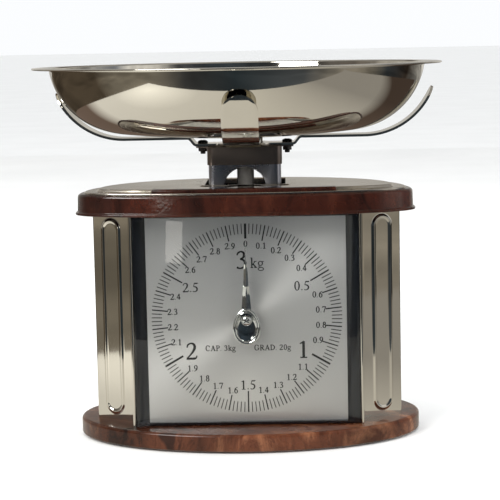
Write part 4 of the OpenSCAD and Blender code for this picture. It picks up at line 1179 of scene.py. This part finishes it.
def build_stage():
    half = 30.0
    floor = card("floor", -half, half, -half, half, 0)
    f = Finish("floor_paint", Specular_IOR_Level=0.2)
    tone = f.ramp(f.noise(6, 4, 0.5), (0.3, (0.86, 0.86, 0.85)), (0.7, (0.90, 0.90, 0.89)))
    gloss = f.ramp(f.noise(40, 3, 0.5), (0.3, 0.6), (0.7, 0.75))
    floor.data.materials.append(f.use(Base_Color=tone, Roughness=gloss))

    # The room as the mirror surfaces see it: a table edge, dim walls and a lighter ceiling.
    wall_r, wall_h, table_z, ground_z = 2.6, 2.2, 0.0006, 0.0003
    mirror_only(card("table_mirror", -0.34, 0.62, -0.28, 0.9, table_z), "table_glow", table_tone)
    mirror_only(card("ground_mirror", -wall_r, wall_r, -wall_r, wall_r, ground_z), "ground_glow", ground_tone)
    walls = lathe([(wall_r, 0), (wall_r, wall_h)], (0, 0, 0), 64)
    mirror_only(bare("wall_mirror", walls, 1), "wall_glow", wall_tone)
    mirror_only(card("ceiling_mirror", -wall_r, wall_r, -wall_r, wall_r, wall_h), "ceiling_glow",
        ceiling_tone)

    bpy.context.scene.view_settings.view_transform = "Standard"
    world = bpy.data.worlds.new("studio")
    bpy.context.scene.world = world
    world.use_nodes = True
    sky = world.node_tree.nodes["Background"]
    sky.inputs[0].default_value = (0.97, 0.985, 1.0, 1)
    sky.inputs[1].default_value = 1.0


def build_light(name, place, target, size, power, colour, in_mirrors=True):
    data = bpy.data.lights.new(name, "AREA")
    data.shape = "RECTANGLE"
    data.size, data.size_y = size
    data.energy = power
    data.color = colour
    obj = new_object(name, data)
    obj.location = place
    obj.rotation_euler = (Vector(target) - Vector(place)).to_track_quat("-Z", "Y").to_euler()
    obj.visible_glossy = in_mirrors


def build_camera():
    data = bpy.data.cameras.new("camera")
    data.sensor_width = 36
    data.lens = 128
    data.clip_end = 100
    camera = new_object("camera", data)
    camera.location = (0.027, -1.05, 0.234)
    pitch, yaw, roll = radians(90 - 6.83), radians(1.38), radians(1.15)
    turn = Matrix.Rotation(yaw, 4, "Z") @ Matrix.Rotation(pitch, 4, "X") @ Matrix.Rotation(-roll, 4, "Z")
    camera.rotation_euler = turn.to_euler()
    bpy.context.scene.camera = camera


build_base()
build_wrap()
build_cap()
build_top_plate()
build_window()
build_print()
build_pointer()
build_arms()
build_column()
build_bowl()
build_spring()
finish_cad_nodes()
build_stage()
build_light("key", (-1.1, -1.2, 1.25), (0, 0, 0.1), (0.9, 0.9), 30, (1, 0.98, 0.95))
build_light("fill", (1.3, -0.9, 0.8), (0, 0, 0.1), (0.6, 0.9), 9, (0.95, 0.97, 1), False)
build_light("top", (0, 0.3, 1.7), (0, 0, 0.1), (1.2, 1.2), 14, (1, 1, 1), False)
build_light("glint", (-0.45, -1.3, 0.36), (0, 0, 0.14), (0.10, 0.26), 0.35, (1, 0.96, 0.88))
build_camera()
